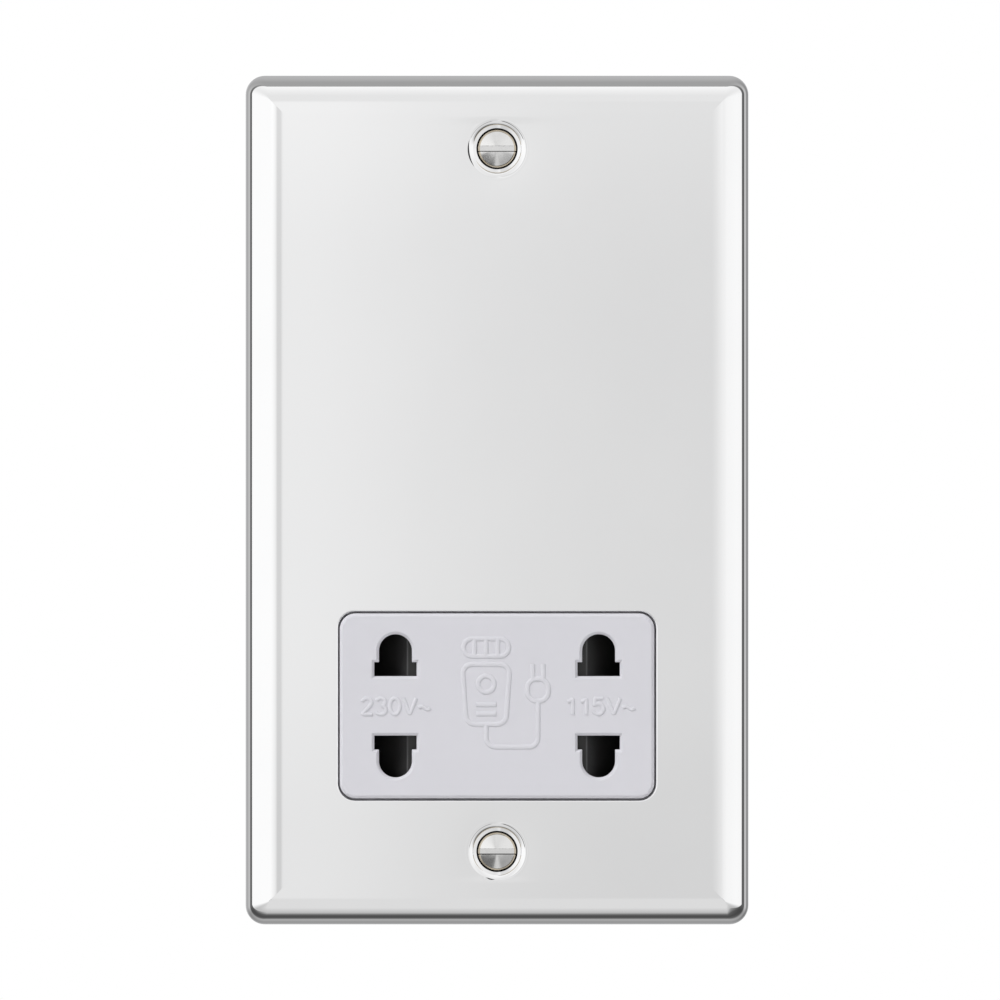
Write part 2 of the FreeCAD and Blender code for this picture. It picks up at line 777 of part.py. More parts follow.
def limb_ring(outward, radius=None):
    """A loop round the core's middle limb, (x, out), this far outside it, with round corners if asked."""
    half_width = UNIT + outward
    half_depth = S.stack / 2 + outward
    back, front = CORE_MIDDLE - half_depth, CORE_MIDDLE + half_depth
    if radius is None:
        return box(-half_width, half_width, back, front)
    return rounded(-half_width, half_width, back, front, radius)


def bobbin():
    """Two-chamber bobbin, which keeps the primary apart from the secondary."""
    body = new_body("bobbin")
    bottom, top, chamber = coil_levels()
    tube = S.core_gap + S.bobbin_wall
    grow(body, "tube", "top", bottom, top, limb_ring(tube))
    for number in range(3):
        low = bottom + (chamber + S.bobbin_flange) * number
        grow(body, f"flange_{number}", "top", low, low + S.bobbin_flange,
             limb_ring(tube + COIL_BUILD))
    carve(body, "limb_way", "top", bottom, top, limb_ring(S.core_gap))
    return body


def winding(label, chamber_number):
    body = new_body(label)
    bottom, _, chamber = coil_levels()
    low = bottom + S.bobbin_flange + (chamber + S.bobbin_flange) * chamber_number
    tube = S.core_gap + S.bobbin_wall
    build = tube + COIL_BUILD - S.winding_inset
    grow(body, "coil", "top", low, low + chamber,
         limb_ring(build, COIL_BUILD / 2), limb_ring(tube))
    return body


def thermal_cutout():
    """Self-resetting capsule strapped to the back of the primary winding."""
    body = new_body("thermal_cutout")
    bottom, _, chamber = coil_levels()
    middle = bottom + S.bobbin_flange + chamber / 2
    front = CORE_MIDDLE - coil_half()
    half = S.cutout_length / 2
    grow(body, "capsule", "front", front - S.cutout_thick, front, rounded(
        -half, half, middle - S.cutout_width / 2, middle + S.cutout_width / 2, S.bobbin_wall))
    return body


# Leads


def lead(name, *places):
    """A lead along straight runs, each parallel to an axis and carried past every bend by its own
    radius. Places are (x, out, z)."""
    spots = [(measure(x), -measure(out), measure(z)) for x, out, z in places]
    pieces = []
    for number, (start, end) in enumerate(zip(spots, spots[1:])):
        along = max(range(3), key=lambda axis: abs(end[axis] - start[axis]))
        before = 0.0 if number == 0 else S.lead_width * LEAD_OVERLAP
        after = 0.0 if number == len(spots) - 2 else S.lead_width * LEAD_OVERLAP
        low, high = list(start), list(end)
        low[along] = start[along] - before
        high[along] = end[along] + after
        if end[along] < start[along]:
            low, high = list(end), list(start)
            low[along] = end[along] - after
            high[along] = start[along] + before
        run = doc.addObject("Part::Prism", f"{name}_run_{number}")
        run.Polygon = LEAD_SIDES
        heading = Vector(*[float(axis == along) for axis in range(3)])
        run.Placement.Rotation = FreeCAD.Rotation(Vector(0, 0, 1), heading)
        bind(run, "Circumradius", S.lead_width / 2)
        bind(run, "Height", high[along] - low[along])
        put(run, low)
        pieces.append(run)
    joined = doc.addObject("Part::MultiFuse", name)
    joined.Shapes = pieces
    return joined


def put(item, spot):
    for letter, value in zip("xyz", spot):
        bind(item, f"Placement.Base.{letter}", value)


def primary_leads():
    """Switched live to the cutout, the cutout to the winding, and the winding back to neutral."""
    bottom, _, chamber = coil_levels()
    middle = bottom + S.bobbin_flange + chamber / 2
    coil_back = CORE_MIDDLE - coil_half()
    run_out = coil_back - S.cutout_thick * 0.62
    strip_z = INSERT_UP + S.shutter_height / 2 + S.drive_tab_length - S.switch_strip_width * 2.5
    strip_out = SHELF_FRONT + S.lead_width / 2 + S.thread_gap
    x, low = -LEAD_ACROSS, DEEP_BOTTOM + S.lead_width * 1.8
    live = lead(
        "live_lead",
        (-S.switch_strip_length / 2, strip_out, strip_z),
        (x, strip_out, strip_z),
        (x, strip_out, low),
        (x, run_out, low),
        (x, run_out, middle),
        (-S.cutout_length / 2, run_out, middle),
    )
    link = lead(
        "cutout_lead",
        (S.cutout_length / 2, run_out, middle),
        (S.cutout_length * 0.8, run_out, middle),
        (S.cutout_length * 0.8, coil_back, middle),
    )
    neutral_x, tag_out = -S.terminal_across / 2, CARRIER_BACK + S.tag_width * 0.8
    rise = LEAD_UP + S.lead_width * 1.5
    neutral = lead(
        "neutral_lead",
        (neutral_x, tag_out, tag_levels()[1]),
        (neutral_x, tag_out, rise),
        (neutral_x, CORE_FRONT + S.tag_width, rise),
        (neutral_x, CORE_FRONT + S.tag_width, bottom),
    )
    return group("primary_leads", [live, link, neutral])


def secondary_leads():
    """From the contacts' tags up past the primary to the front of the secondary winding."""
    bottom, _, chamber = coil_levels()
    middle = bottom + S.bobbin_flange * 2 + chamber * 1.5
    tag_top = CARRIER_TOP + S.tag_length
    tag_out = CARRIER_BACK + S.lead_width * 0.6
    run_out = (FLANGE_BACK + CORE_MIDDLE + coil_half() + S.winding_inset) / 2
    coil_front = CORE_MIDDLE + coil_half()
    members = []
    for name, side in (("contact_230", -1), ("contact_115", 1)):
        x, near = S.outlet_pitch / 2 * side, LEAD_ACROSS / 2 * side
        members.append(lead(
            f"{name}_lead",
            (x, tag_out, tag_top),
            (x, tag_out, LEAD_UP),
            (near, tag_out, LEAD_UP),
            (near, run_out, LEAD_UP),
            (near, run_out, middle),
            (near, coil_front, middle),
        ))
    members.append(lead(
        "common_lead",
        (0.0, tag_out, tag_top),
        (0.0, tag_out, LEAD_UP),
        (0.0, run_out, LEAD_UP),
        (0.0, run_out, middle),
        (0.0, coil_front, middle),
    ))
    return group("secondary_leads", members)


def coil_half():
    """Half the depth of a winding, from the middle of the core."""
    return S.stack / 2 + S.core_gap + S.bobbin_wall + COIL_BUILD - S.winding_inset


# Rear housing and terminals


def rear_housing():
    """Stepped cover: deep over the transformer and shallow over the outlets, with a terminal shroud."""
    body = new_body("rear_housing")
    half, end, inner_end = S.housing_width / 2, S.housing_height / 2, INNER_TOP
    mounting_flange(body, "flange", CLAMP_BACK, FLANGE_BACK)
    grow(body, "shallow_part", "front", SHALLOW_BACK, CLAMP_BACK, rounded(
        -half, half, -end, STEP_UP + S.housing_corner * 2, S.housing_corner))
    grow(body, "deep_part", "front", -S.deep_depth, CLAMP_BACK, rounded(
        -half, half, STEP_UP, end, S.housing_corner))
    doc.recompute()
    dress(body, "Chamfer", "back_edge", edges_at(body, -S.deep_depth), "Size", S.housing_edge)
    shroud_half = S.terminal_across / 2 + S.terminal_cell / 2 + S.shroud_wall
    shroud_low = terminal_low() - S.fit_gap
    grow(body, "shroud", "front", SHALLOW_BACK - S.shroud_depth, SHALLOW_BACK, box(
        -shroud_half, shroud_half, shroud_low, DEEP_BOTTOM))
    flange_holes(body, "flange_cuts", CLAMP_BACK, FLANGE_BACK)
    corner = S.housing_corner - S.housing_wall
    carve(body, "shallow_hollow", "front", CARRIER_BACK, FLANGE_BACK, rounded(
        -INNER_HALF, INNER_HALF, -inner_end, STEP_UP + S.housing_corner * 3, corner))
    carve(body, "deep_hollow", "front", DEEP_FLOOR, FLANGE_BACK, rounded(
        -INNER_HALF, INNER_HALF, DEEP_BOTTOM, inner_end, corner))
    cell = S.terminal_cell / 2
    for side in SIDES:
        x = S.terminal_across / 2 * side
        name = "right" if side > 0 else "left"
        carve(body, f"{name}_cell", "front", SHALLOW_BACK - S.shroud_depth, SHALLOW_BACK, box(
            x - cell, x + cell, shroud_low, terminal_low() + S.terminal_length + S.fit_gap))
        low, high = tag_levels()
        carve(body, f"{name}_tag_slot", "front", SHALLOW_BACK, CARRIER_BACK, box(
            x - S.contact_strip - S.fit_gap, x + S.contact_strip + S.fit_gap,
            low - S.fit_gap, high + S.fit_gap))
    for name, x, z in core_corners():
        grow(body, f"{name}_post", "front", DEEP_FLOOR, CORE_BACK, box(
            x - S.post / 2, x + S.post / 2, z - S.post / 2, z + S.post / 2))
    vents(body)
    return body


def vents(body):
    """Rows of cooling slots in the back and both sides of the transformer's compartment."""
    first = CORE_BOTTOM + UNIT * 2.5 - S.vent_pitch * (S.vent_count - 1) / 2
    low, high = first - S.vent_width / 2, first + S.vent_width / 2
    back, side = S.vent_length / 2, S.side_vent_length / 2
    half = S.housing_width / 2
    across, along = box(-back, back, low, high), box(CORE_MIDDLE - side, CORE_MIDDLE + side, low, high)
    rows = [("back", "front", -S.deep_depth, DEEP_FLOOR, across),
            ("right", "side", INNER_HALF, half, along),
            ("left", "side", -half, -INNER_HALF, along)]
    for name, direction, start, end, loop in rows:
        slot = carve(body, f"{name}_vent", direction, start, end, loop)
        row = body.newObject("PartDesign::LinearPattern", f"{name}_vents")
        row.Originals = [slot]
        row.Direction = (slot.Profile[0], ["V_Axis"])
        bind(row, "Length", S.vent_pitch * (S.vent_count - 1))
        bind(row, "Occurrences", S.vent_count)
        body.Tip = row


def terminal_low():
    return STEP_UP - S.shroud_wall - S.fit_gap - S.terminal_length


def tag_levels():
    """Bottom and top of a terminal's tag where it passes through the housing's wall."""
    middle = terminal_low() + S.terminal_length * 0.75
    return middle - S.tag_width / 2, middle + S.tag_width / 2


def mains_terminal(label, side, tag_end):
    """Pillar terminal: a wire tunnel along Z, a screw hole from behind and a tag into the housing."""
    body = new_body(label)
    x, low = S.terminal_across / 2 * side, terminal_low()
    back = SHALLOW_BACK - S.terminal_depth
    half = S.terminal_width / 2
    grow(body, "pillar", "front", back, SHALLOW_BACK, box(x - half, x + half, low, low + S.terminal_length))
    tag_low, tag_high = tag_levels()
    grow(body, "tag", "front", SHALLOW_BACK, tag_end, box(
        x - S.contact_strip, x + S.contact_strip, tag_low, tag_high))
    tunnel = SHALLOW_BACK - S.terminal_depth * 0.4
    carve(body, "wire_tunnel", "top", low, low + S.terminal_length, Circle(x, tunnel, S.terminal_bore / 2))
    carve(body, "screw_hole", "front", back, tunnel, Circle(
        x, low + S.terminal_length / 2, S.terminal_screw / 2 + S.thread_gap))
    return body


def earth_place():
    return next((x, z) for name, x, z in clamp_places() if x < 0 and z < 0)


def earth_terminal():
    """Pillar terminal screwed to one of the plate's studs, which earths the plate and clamps the flanges."""
    body = new_body("earth_terminal")
    x, z = earth_place()
    back = CLAMP_BACK - S.earth_depth
    grow(body, "pillar", "front", back, CLAMP_BACK, box(
        x - S.earth_length / 2, x + S.earth_length / 2, z - S.earth_height / 2, z + S.earth_height / 2))
    carve(body, "stud_hole", "front", CLAMP_BACK - S.nut_thick - S.sheet, CLAMP_BACK, Circle(
        x, z, S.clamp_stud_width / 2 + S.thread_gap))
    tunnel = earth_tunnel()
    carve(body, "wire_tunnel", "side", x - S.earth_length / 2, x + S.earth_length / 2, Circle(
        tunnel, z, S.earth_bore / 2))
    carve(body, "screw_hole", "front", back, tunnel, Circle(x, z, S.terminal_screw / 2 + S.thread_gap))
    return body


def earth_tunnel():
    return CLAMP_BACK - S.earth_depth + S.sheet + S.earth_bore / 2 + S.fit_gap


def terminal_screws():
    """The three clamping screws, backed off so that the wire tunnels are open."""
    members = []
    mains_up = terminal_low() + S.terminal_length / 2
    mains_wall = SHALLOW_BACK - S.terminal_depth * 0.4 - S.terminal_bore / 2
    mains_back = SHALLOW_BACK - S.terminal_depth
    across = S.terminal_across / 2
    earth_x, earth_z = earth_place()
    earth_wall, earth_back = earth_tunnel() - S.earth_bore / 2, CLAMP_BACK - S.earth_depth
    places = [("right", across, mains_up, mains_wall, mains_back),
              ("left", -across, mains_up, mains_wall, mains_back),
              ("earth", earth_x, earth_z, earth_wall, earth_back)]
    for name, x, z, tunnel_wall, back in places:
        body = new_body(f"{name}_terminal_screw")
        under_head = back - S.fit_gap
        end = under_head - S.terminal_head_thick
        grow(body, "shank", "front", under_head, tunnel_wall - S.fit_gap, Circle(x, z, S.terminal_screw / 2))
        grow(body, "head", "front", end, under_head, Circle(x, z, S.terminal_head / 2))
        carve(body, "slot", "front", end, end + S.terminal_head_thick / 2, box(
            x - S.terminal_head, x + S.terminal_head, z - S.screw_slot / 2, z + S.screw_slot / 2))
        members.append(body)
    return group("terminal_screws", members)


def clamp_nuts():
    """Hexagon nuts on the three studs that the earth terminal leaves free."""
    members = []
    point = S.nut_across / math.sqrt(3)
    for name, x, z in clamp_places():
        if (float(x), float(z)) == tuple(float(v) for v in earth_place()):
            continue
        body = new_body(f"{name}_nut")
        corners = [(x + point * math.cos(math.radians(60 * n)), z + point * math.sin(math.radians(60 * n)))
                   for n in range(6)]
        grow(body, "hexagon", "front", CLAMP_BACK - S.nut_thick, CLAMP_BACK,
             Outline(*corners), Circle(x, z, S.clamp_stud_width / 2 + S.thread_gap))
        members.append(body)
    return group("clamp_nuts", members)


def build():
    outlet = S.outlet_pitch / 2
    return [
        front_plate(),
        fixing_screws(),
        front_moulding(),
        interlock_shutter(),
        bridge_contact(),
        centring_spring(),
        contact_block(),
        tagged_contact("contact_230", -outlet),
        tagged_contact("contact_115", outlet),
        common_contact(),
        switch_strip("live_in_strip", 0),
        switch_strip("live_out_strip", 1),
        core_e_stack(),
        core_i_stack(),
        bobbin(),
        winding("primary_winding", 0),
        winding("secondary_winding", 1),
        thermal_cutout(),
        primary_leads(),
        secondary_leads(),
        rear_housing(),
        mains_terminal("live_terminal", 1, SHELF_FRONT),
        mains_terminal("neutral_terminal", -1, CARRIER_BACK + S.tag_width),
        earth_terminal(),
        terminal_screws(),
        clamp_nuts(),
    ]


def check(parts):
    """Stops before anything is written if an object failed or a sub-part has no sound solid."""
    failed = [o.Label for o in doc.Objects if {"Invalid", "Error"} & set(o.State)]
    unsound = [p.Label for p in parts if p.Shape.isNull() or not p.Shape.isValid() or not p.Shape.Solids]
    if failed or unsound:
        raise RuntimeError(f"failed objects {failed}, unsound sub-parts {unsound}")


def main():
    parts = build()
    doc.recompute()
    check(parts)
    os.makedirs("parts", exist_ok=True)
    for part in parts:
        part.Shape.exportStep(f"parts/{part.Label}.step")


main()
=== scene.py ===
# A dual-voltage shaver socket: polished pressed plate, moulded insert, shutter, and the
# transformer housing behind. Shapes are drawn in millimetres as (x, out, z), where out is the
# distance from the wall plane towards the room, and turned into metres when a mesh is made.
import math

import bmesh
import bpy
from mathutils import Matrix, Vector
from mathutils.geometry import delaunay_2d_cdt


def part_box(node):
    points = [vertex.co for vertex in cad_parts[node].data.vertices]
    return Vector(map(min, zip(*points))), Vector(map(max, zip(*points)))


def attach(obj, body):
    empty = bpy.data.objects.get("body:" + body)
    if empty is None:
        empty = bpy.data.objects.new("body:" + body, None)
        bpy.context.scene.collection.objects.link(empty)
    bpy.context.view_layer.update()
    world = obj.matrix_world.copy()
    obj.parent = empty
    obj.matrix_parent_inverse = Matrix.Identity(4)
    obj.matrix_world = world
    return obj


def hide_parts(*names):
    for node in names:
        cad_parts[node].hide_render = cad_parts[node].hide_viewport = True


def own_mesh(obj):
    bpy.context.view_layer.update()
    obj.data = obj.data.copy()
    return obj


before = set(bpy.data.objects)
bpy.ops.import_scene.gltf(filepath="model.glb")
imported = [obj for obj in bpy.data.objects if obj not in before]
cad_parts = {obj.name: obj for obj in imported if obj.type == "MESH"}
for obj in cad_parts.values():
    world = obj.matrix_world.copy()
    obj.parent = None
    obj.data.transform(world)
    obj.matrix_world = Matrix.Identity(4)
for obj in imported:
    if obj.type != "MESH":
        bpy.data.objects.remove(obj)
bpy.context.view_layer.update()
MM = 0.001


def box_mm(node):
    """A node's lowest and highest corner as (x, out, z) in millimetres."""
    low, high = (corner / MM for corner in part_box(node))
    return Vector((low.x, -high.y, low.z)), Vector((high.x, -low.y, high.z))


def smooth(share):
    share = min(max(share, 0.0), 1.0)
    return share * share * (3 - 2 * share)


# Sizes that several pieces share
PLATE_LOW, PLATE_HIGH = box_mm("front_plate")
HALF_WIDTH, PLATE_OUT, HALF_HEIGHT = PLATE_HIGH
SHEET = 1.2
INSERT_FACE = box_mm("front_moulding")[1].y
INSERT_UP = -35.35
SCREWS_LOW, SCREWS_HIGH = box_mm("fixing_screws")
FIXING_UP = SCREWS_HIGH.z - SCREWS_HIGH.x
FIXINGS = [(0.0, FIXING_UP), (0.0, -FIXING_UP)]
CROWN_RADIUS = 2.92
STUD_ACROSS, STUD_UP, STUD_RADIUS = 20.0, 56.2, 1.5
STUDS = [(x, z) for x in (STUD_ACROSS, -STUD_ACROSS) for z in (STUD_UP, -STUD_UP)]
EARTH_STUD = (-STUD_ACROSS, -STUD_UP)
TERMINAL_ACROSS, TERMINAL_UP = 12.0, -13.7


# Node trees


class Socket:
    """An output of a node tree that takes part in sums, so that a pattern reads as arithmetic."""

    def __init__(self, graph, socket):
        self.graph, self.socket = graph, socket

    def of(self, name):
        return Socket(self.graph, self.socket.node.outputs[name])

    def math(self, operation, *values):
        sockets = dict(enumerate([self, *values]))
        return self.graph.node("ShaderNodeMath", {"operation": operation}, sockets)

    def flipped(self, operation, value):
        return self.graph.node("ShaderNodeMath", {"operation": operation}, {0: value, 1: self})

    def __add__(self, other):
        return self.math("ADD", other)

    def __sub__(self, other):
        return self.math("SUBTRACT", other)

    def __rsub__(self, other):
        return self.flipped("SUBTRACT", other)

    def __mul__(self, other):
        return self.math("MULTIPLY", other)

    def __truediv__(self, other):
        return self.math("DIVIDE", other)

    def __rtruediv__(self, other):
        return self.flipped("DIVIDE", other)

    def __pow__(self, other):
        return self.math("POWER", other)

    def __neg__(self):
        return self * -1.0

    def __abs__(self):
        return self.math("ABSOLUTE")

    __radd__ = __add__
    __rmul__ = __mul__

    def ramp_between(self, low, high, first=0.0, last=1.0, kind="SMOOTHSTEP"):
        sockets = {"Value": self, "From Min": low, "From Max": high, "To Min": first, "To Max": last}
        return self.graph.node("ShaderNodeMapRange", {"interpolation_type": kind}, sockets)

    def ramp_mm(self, low, high, first=0.0, last=1.0):
        """A ramp between two lengths in millimetres."""
        return self.ramp_between(low * MM, high * MM, first, last)


class Graph:
    """A node tree in the making."""

    def __init__(self, tree):
        self.tree = tree

    def node(self, kind, settings=None, sockets=None, output=0):
        item = self.tree.nodes.new(kind)
        for name, value in (settings or {}).items():
            if name == "stops":
                self.set_stops(item.color_ramp, value)
            else:
                setattr(item, name, value)
        for name, value in (sockets or {}).items():
            if isinstance(value, Socket):
                self.tree.links.new(value.socket, item.inputs[name])
            else:
                item.inputs[name].default_value = value
        return Socket(self, item.outputs[output])

    @staticmethod
    def set_stops(ramp, stops):
        while len(ramp.elements) < len(stops):
            ramp.elements.new(1.0)
        for element, (place, value) in zip(ramp.elements, stops):
            element.position = place
            element.color = value if isinstance(value, tuple) else (value, value, value, 1.0)

    def blend(self, share, first, second):
        sockets = {0: share, 6: first, 7: second}
        return self.node("ShaderNodeMix", {"data_type": "RGBA"}, sockets, output=2)

    def place(self):
        return self.node("ShaderNodeTexCoord").of("Object")

    def axes(self, vector):
        split = self.node("ShaderNodeSeparateXYZ", None, {0: vector})
        return split.of("X"), split.of("Y"), split.of("Z")

    def noise(self, scale, detail=3.0, stretch=(1.0, 1.0, 1.0), roughness=0.55):
        spot = self.node("ShaderNodeMapping", None, {"Vector": self.place(), "Scale": stretch})
        sockets = {"Vector": spot, "Scale": scale, "Detail": detail, "Roughness": roughness}
        return self.node("ShaderNodeTexNoise", None, sockets)

    def bump(self, height, strength, distance):
        sockets = {"Height": height, "Strength": strength, "Distance": distance}
        return self.node("ShaderNodeBump", None, sockets)


class Finish:
    """A material round one Principled shader: constants on its sockets, patterns linked in."""

    def __init__(self, name, **constants):
        self.material = bpy.data.materials.new(name)
        self.material.use_nodes = True
        self.graph = Graph(self.material.node_tree)
        self.shader = self.material.node_tree.nodes["Principled BSDF"]
        for key, value in constants.items():
            self.shader.inputs[key.replace("_", " ")].default_value = value

    def feed(self, socket, value):
        self.graph.tree.links.new(value.socket, self.shader.inputs[socket])
        return self


def tone(red, green, blue):
    return (red, green, blue, 1.0)


# Finishes
LATHE_RING = 0.12
SLOT_TOP, SLOT_FLOOR = 4.75, 4.2
EJECTOR_RADIUS = 2.2
EJECTOR_PLACES = ((24.0, 49.5), (24.0, 7.5), (27.0, -31.0), (27.0, -53.5))


def chrome_finish():
    """Mirror plating with a faint polishing haze."""
    made = Finish("polished_plating", Metallic=1.0, Specular_Tint=tone(0.7, 0.7, 0.71))
    graph = made.graph
    haze = graph.noise(55.0, 4.0)
    made.feed("Base Color", graph.blend(haze, tone(0.955, 0.956, 0.960), tone(0.99, 0.99, 0.992)))
    return made.feed("Roughness", haze * 0.02 + 0.022).material


def plate_back_finish():
    """Unpolished inside of the pressing, with drawn streaks."""
    made = Finish("unpolished_plating", Metallic=1.0)
    graph = made.graph
    streaks = graph.noise(240.0, 4.0, stretch=(8.0, 1.0, 0.6))
    made.feed("Base Color", graph.blend(streaks, tone(0.60, 0.60, 0.61), tone(0.79, 0.79, 0.80)))
    made.feed("Roughness", streaks * 0.22 + 0.28)
    return made.feed("Normal", graph.bump(streaks, 0.25, 0.00003)).material


def screw_finish():
    """Bright metal with fine lathe rings about each screw's axis, and painted shade in its slot."""
    made = Finish("bright_screw", Metallic=1.0)
    graph = made.graph
    x, y, z = graph.axes(graph.place())
    radius = (x ** 2.0 + (abs(z) - FIXING_UP * MM) ** 2.0) ** 0.5
    rings = (radius * (math.tau / (LATHE_RING * MM))).math("SINE") * 0.5 + 0.5
    mottle = graph.noise(700.0, 3.0)
    level = z - z.math("SIGN") * (FIXING_UP * MM)
    in_slot = (-y).ramp_mm(SLOT_TOP, SLOT_TOP - 0.1) * (-y).ramp_mm(SLOT_FLOOR, SLOT_FLOOR + 0.1)
    in_slot = in_slot * abs(level).ramp_mm(0.56, 0.6, 1.0, 0.0)
    lower = level.ramp_mm(-0.34, -0.42)
    upper = level.ramp_mm(0.40, 0.46) * graph.noise(5600.0, 1.0).ramp_between(0.42, 0.58)
    # Near-black along the slot's lower side and in patches along its upper side: painted shade in the slot.
    painted_slot_shade = in_slot * (lower + upper * 0.3)
    metal = graph.blend(mottle, tone(0.80, 0.80, 0.80), tone(0.93, 0.925, 0.91))
    worn = radius.ramp_mm(CROWN_RADIUS - 0.02, CROWN_RADIUS + 0.06) * (mottle * 0.5 + 0.5)
    metal = graph.blend(worn, metal, tone(0.60, 0.50, 0.34))
    made.feed("Base Color", graph.blend(painted_slot_shade, metal, tone(0.035, 0.034, 0.036)))
    made.feed("Roughness", mottle * 0.08 + rings * 0.03 + painted_slot_shade * 0.4 + 0.05)
    return made.feed("Normal", graph.bump(rings, 0.05, 0.00001)).material


def plain_metal_finish(name, dark, bright, roughness, stretch=(1.0, 1.0, 1.0)):
    """Rolled or cast metal: dulling in clouds, with grain along the way it was rolled."""
    made = Finish(name, Metallic=1.0)
    graph = made.graph
    clouds = graph.noise(147.0, 3.0)
    grain = graph.noise(1680.0, 2.0, stretch)
    made.feed("Base Color", graph.blend(clouds, tone(*dark), tone(*bright)))
    made.feed("Roughness", clouds * 0.12 + grain * 0.12 + roughness)
    return made.feed("Normal", graph.bump(grain, 0.12, 0.00002)).material


def moulded_finish(name, colour, roughness, grain_size, grain_depth, drift, pins=()):
    """Moulded plastic: eroded grain, a slight drift of colour, and rings where pins pushed it out."""
    made = Finish(name, IOR=1.47)
    graph = made.graph
    cloud = graph.noise(38.0, 3.0)
    dark = tone(*[c * (1 - drift) for c in colour])
    light = tone(*[min(c * (1 + drift), 1.0) for c in colour])
    made.feed("Base Color", graph.blend(cloud, dark, light))
    grain = graph.noise(1.0 / (grain_size * MM), 2.0)
    made.feed("Roughness", grain * 0.12 + roughness)
    height = grain
    x, _, z = graph.axes(graph.place())
    for across, up in pins:
        away = ((abs(x) - across * MM) ** 2.0 + (z - up * MM) ** 2.0) ** 0.5
        height = height - abs(away - EJECTOR_RADIUS * MM).ramp_mm(0.03, 0.16, 6.0, 0.0)
    return made.feed("Normal", graph.bump(height, 0.35, grain_depth * MM)).material


def shutter_finish():
    """Black plastic with a painted highlight: a lighter line along each ramp's crest."""
    made = Finish("black_plastic", IOR=1.47)
    graph = made.graph
    x, y, _ = graph.axes(graph.place())
    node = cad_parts["interlock_shutter"]
    level = box_mm("interlock_shutter")[1].y
    crest = max(abs(v.co.x) for v in node.data.vertices if -v.co.y / MM > level - 0.01)
    grain = graph.noise(3300.0, 2.0)
    # A lighter line along each crest: painted highlight.
    painted_crest_highlight = abs(abs(x) - crest).ramp_mm(0.05, 0.22, 1.0, 0.0)
    painted_crest_highlight = painted_crest_highlight * (-y).ramp_mm(level - 0.6, level - 0.3) * (grain * 0.5 + 0.5)
    cloud = graph.noise(38.0, 3.0)
    black = graph.blend(cloud, tone(0.015, 0.0148, 0.0145), tone(0.020, 0.0196, 0.019))
    made.feed("Base Color", graph.blend(painted_crest_highlight, black, tone(0.075, 0.075, 0.077)))
    made.feed("Roughness", grain * 0.12 + 0.27)
    return made.feed("Normal", graph.bump(grain, 0.35, 0.006 * MM)).material


def enamel_finish():
    """Enamelled copper wire: clear coat over metal that darkens in patches."""
    made = Finish("enamelled_copper", Metallic=1.0, Coat_Weight=0.8, Coat_Roughness=0.12)
    graph = made.graph
    patches = graph.noise(160.0, 3.0, stretch=(1.0, 1.0, 3.0))
    made.feed("Base Color", graph.blend(patches, tone(0.42, 0.13, 0.045), tone(0.66, 0.25, 0.09)))
    return made.feed("Roughness", patches * 0.1 + 0.2).material


def lamination_finish():
    """Varnished silicon steel: blue-black with brown where the varnish lies thick."""
    made = Finish("varnished_steel", Metallic=0.75, Coat_Weight=0.4, Coat_Roughness=0.3)
    graph = made.graph
    varnish = graph.noise(120.0, 5.0)
    made.feed("Base Color", graph.blend(varnish, tone(0.10, 0.075, 0.055), tone(0.23, 0.22, 0.22)))
    made.feed("Roughness", varnish * 0.25 + 0.35)
    return made.feed("Normal", graph.bump(varnish, 0.2, 0.00004)).material


def lead_finish(name, colour):
    """Soft insulation with a slight sheen and fine drawing lines."""
    made = Finish(name, Sheen_Weight=0.15)
    graph = made.graph
    lines = graph.noise(900.0, 2.0)
    dark = tone(*[c * 0.8 for c in colour])
    made.feed("Base Color", graph.blend(lines, dark, tone(*colour)))
    made.feed("Roughness", lines * 0.15 + 0.45)
    return made.feed("Normal", graph.bump(lines, 0.15, 0.00003)).material


CHROME = chrome_finish()
# Dull metal darkened to near black for the seats' countersinks and crevices, the screw holes and the window's
# inner wall: painted shade in these recesses.
PAINTED_SHADE_METAL = plain_metal_finish("painted_shade_metal", (0.045, 0.045, 0.05), (0.09, 0.088, 0.085), 0.4)
PLATE_BACK = plate_back_finish()
SCREW_METAL = screw_finish()
GREY_PLASTIC = moulded_finish("light_grey_plastic", (0.655, 0.650, 0.690), 0.36, 0.16, 0.010, 0.012)
SHUTTER_PLASTIC = shutter_finish()
BLOCK_PLASTIC = moulded_finish("black_block_plastic", (0.018, 0.018, 0.019), 0.42, 0.22, 0.012, 0.12)
HOUSING_PLASTIC = moulded_finish("off_white_plastic", (0.74, 0.735, 0.705), 0.40, 0.28, 0.014, 0.02,
                                 EJECTOR_PLACES)
BOBBIN_PLASTIC = moulded_finish("natural_nylon", (0.70, 0.66, 0.55), 0.38, 0.30, 0.010, 0.05)
CUTOUT_PLASTIC = moulded_finish("cutout_plastic", (0.60, 0.57, 0.50), 0.45, 0.18, 0.012, 0.04)
BRASS = plain_metal_finish("terminal_brass", (0.72, 0.52, 0.23), (0.88, 0.69, 0.37), 0.16)
CONTACT_BRASS = plain_metal_finish("rolled_brass", (0.62, 0.44, 0.20), (0.83, 0.63, 0.33), 0.16,
                                   (1.0, 6.0, 1.0))
SPRING_STEEL = plain_metal_finish("spring_steel", (0.40, 0.40, 0.41), (0.60, 0.60, 0.61), 0.22,
                                  (6.0, 1.0, 1.0))
ZINC = plain_metal_finish("zinc_plating", (0.58, 0.585, 0.60), (0.78, 0.77, 0.72), 0.20)
COPPER = enamel_finish()
LAMINATIONS = lamination_finish()
PRIMARY_LEAD = lead_finish("brown_insulation", (0.15, 0.055, 0.025))
SECONDARY_LEAD = lead_finish("grey_insulation", (0.30, 0.31, 0.33))


# Meshes


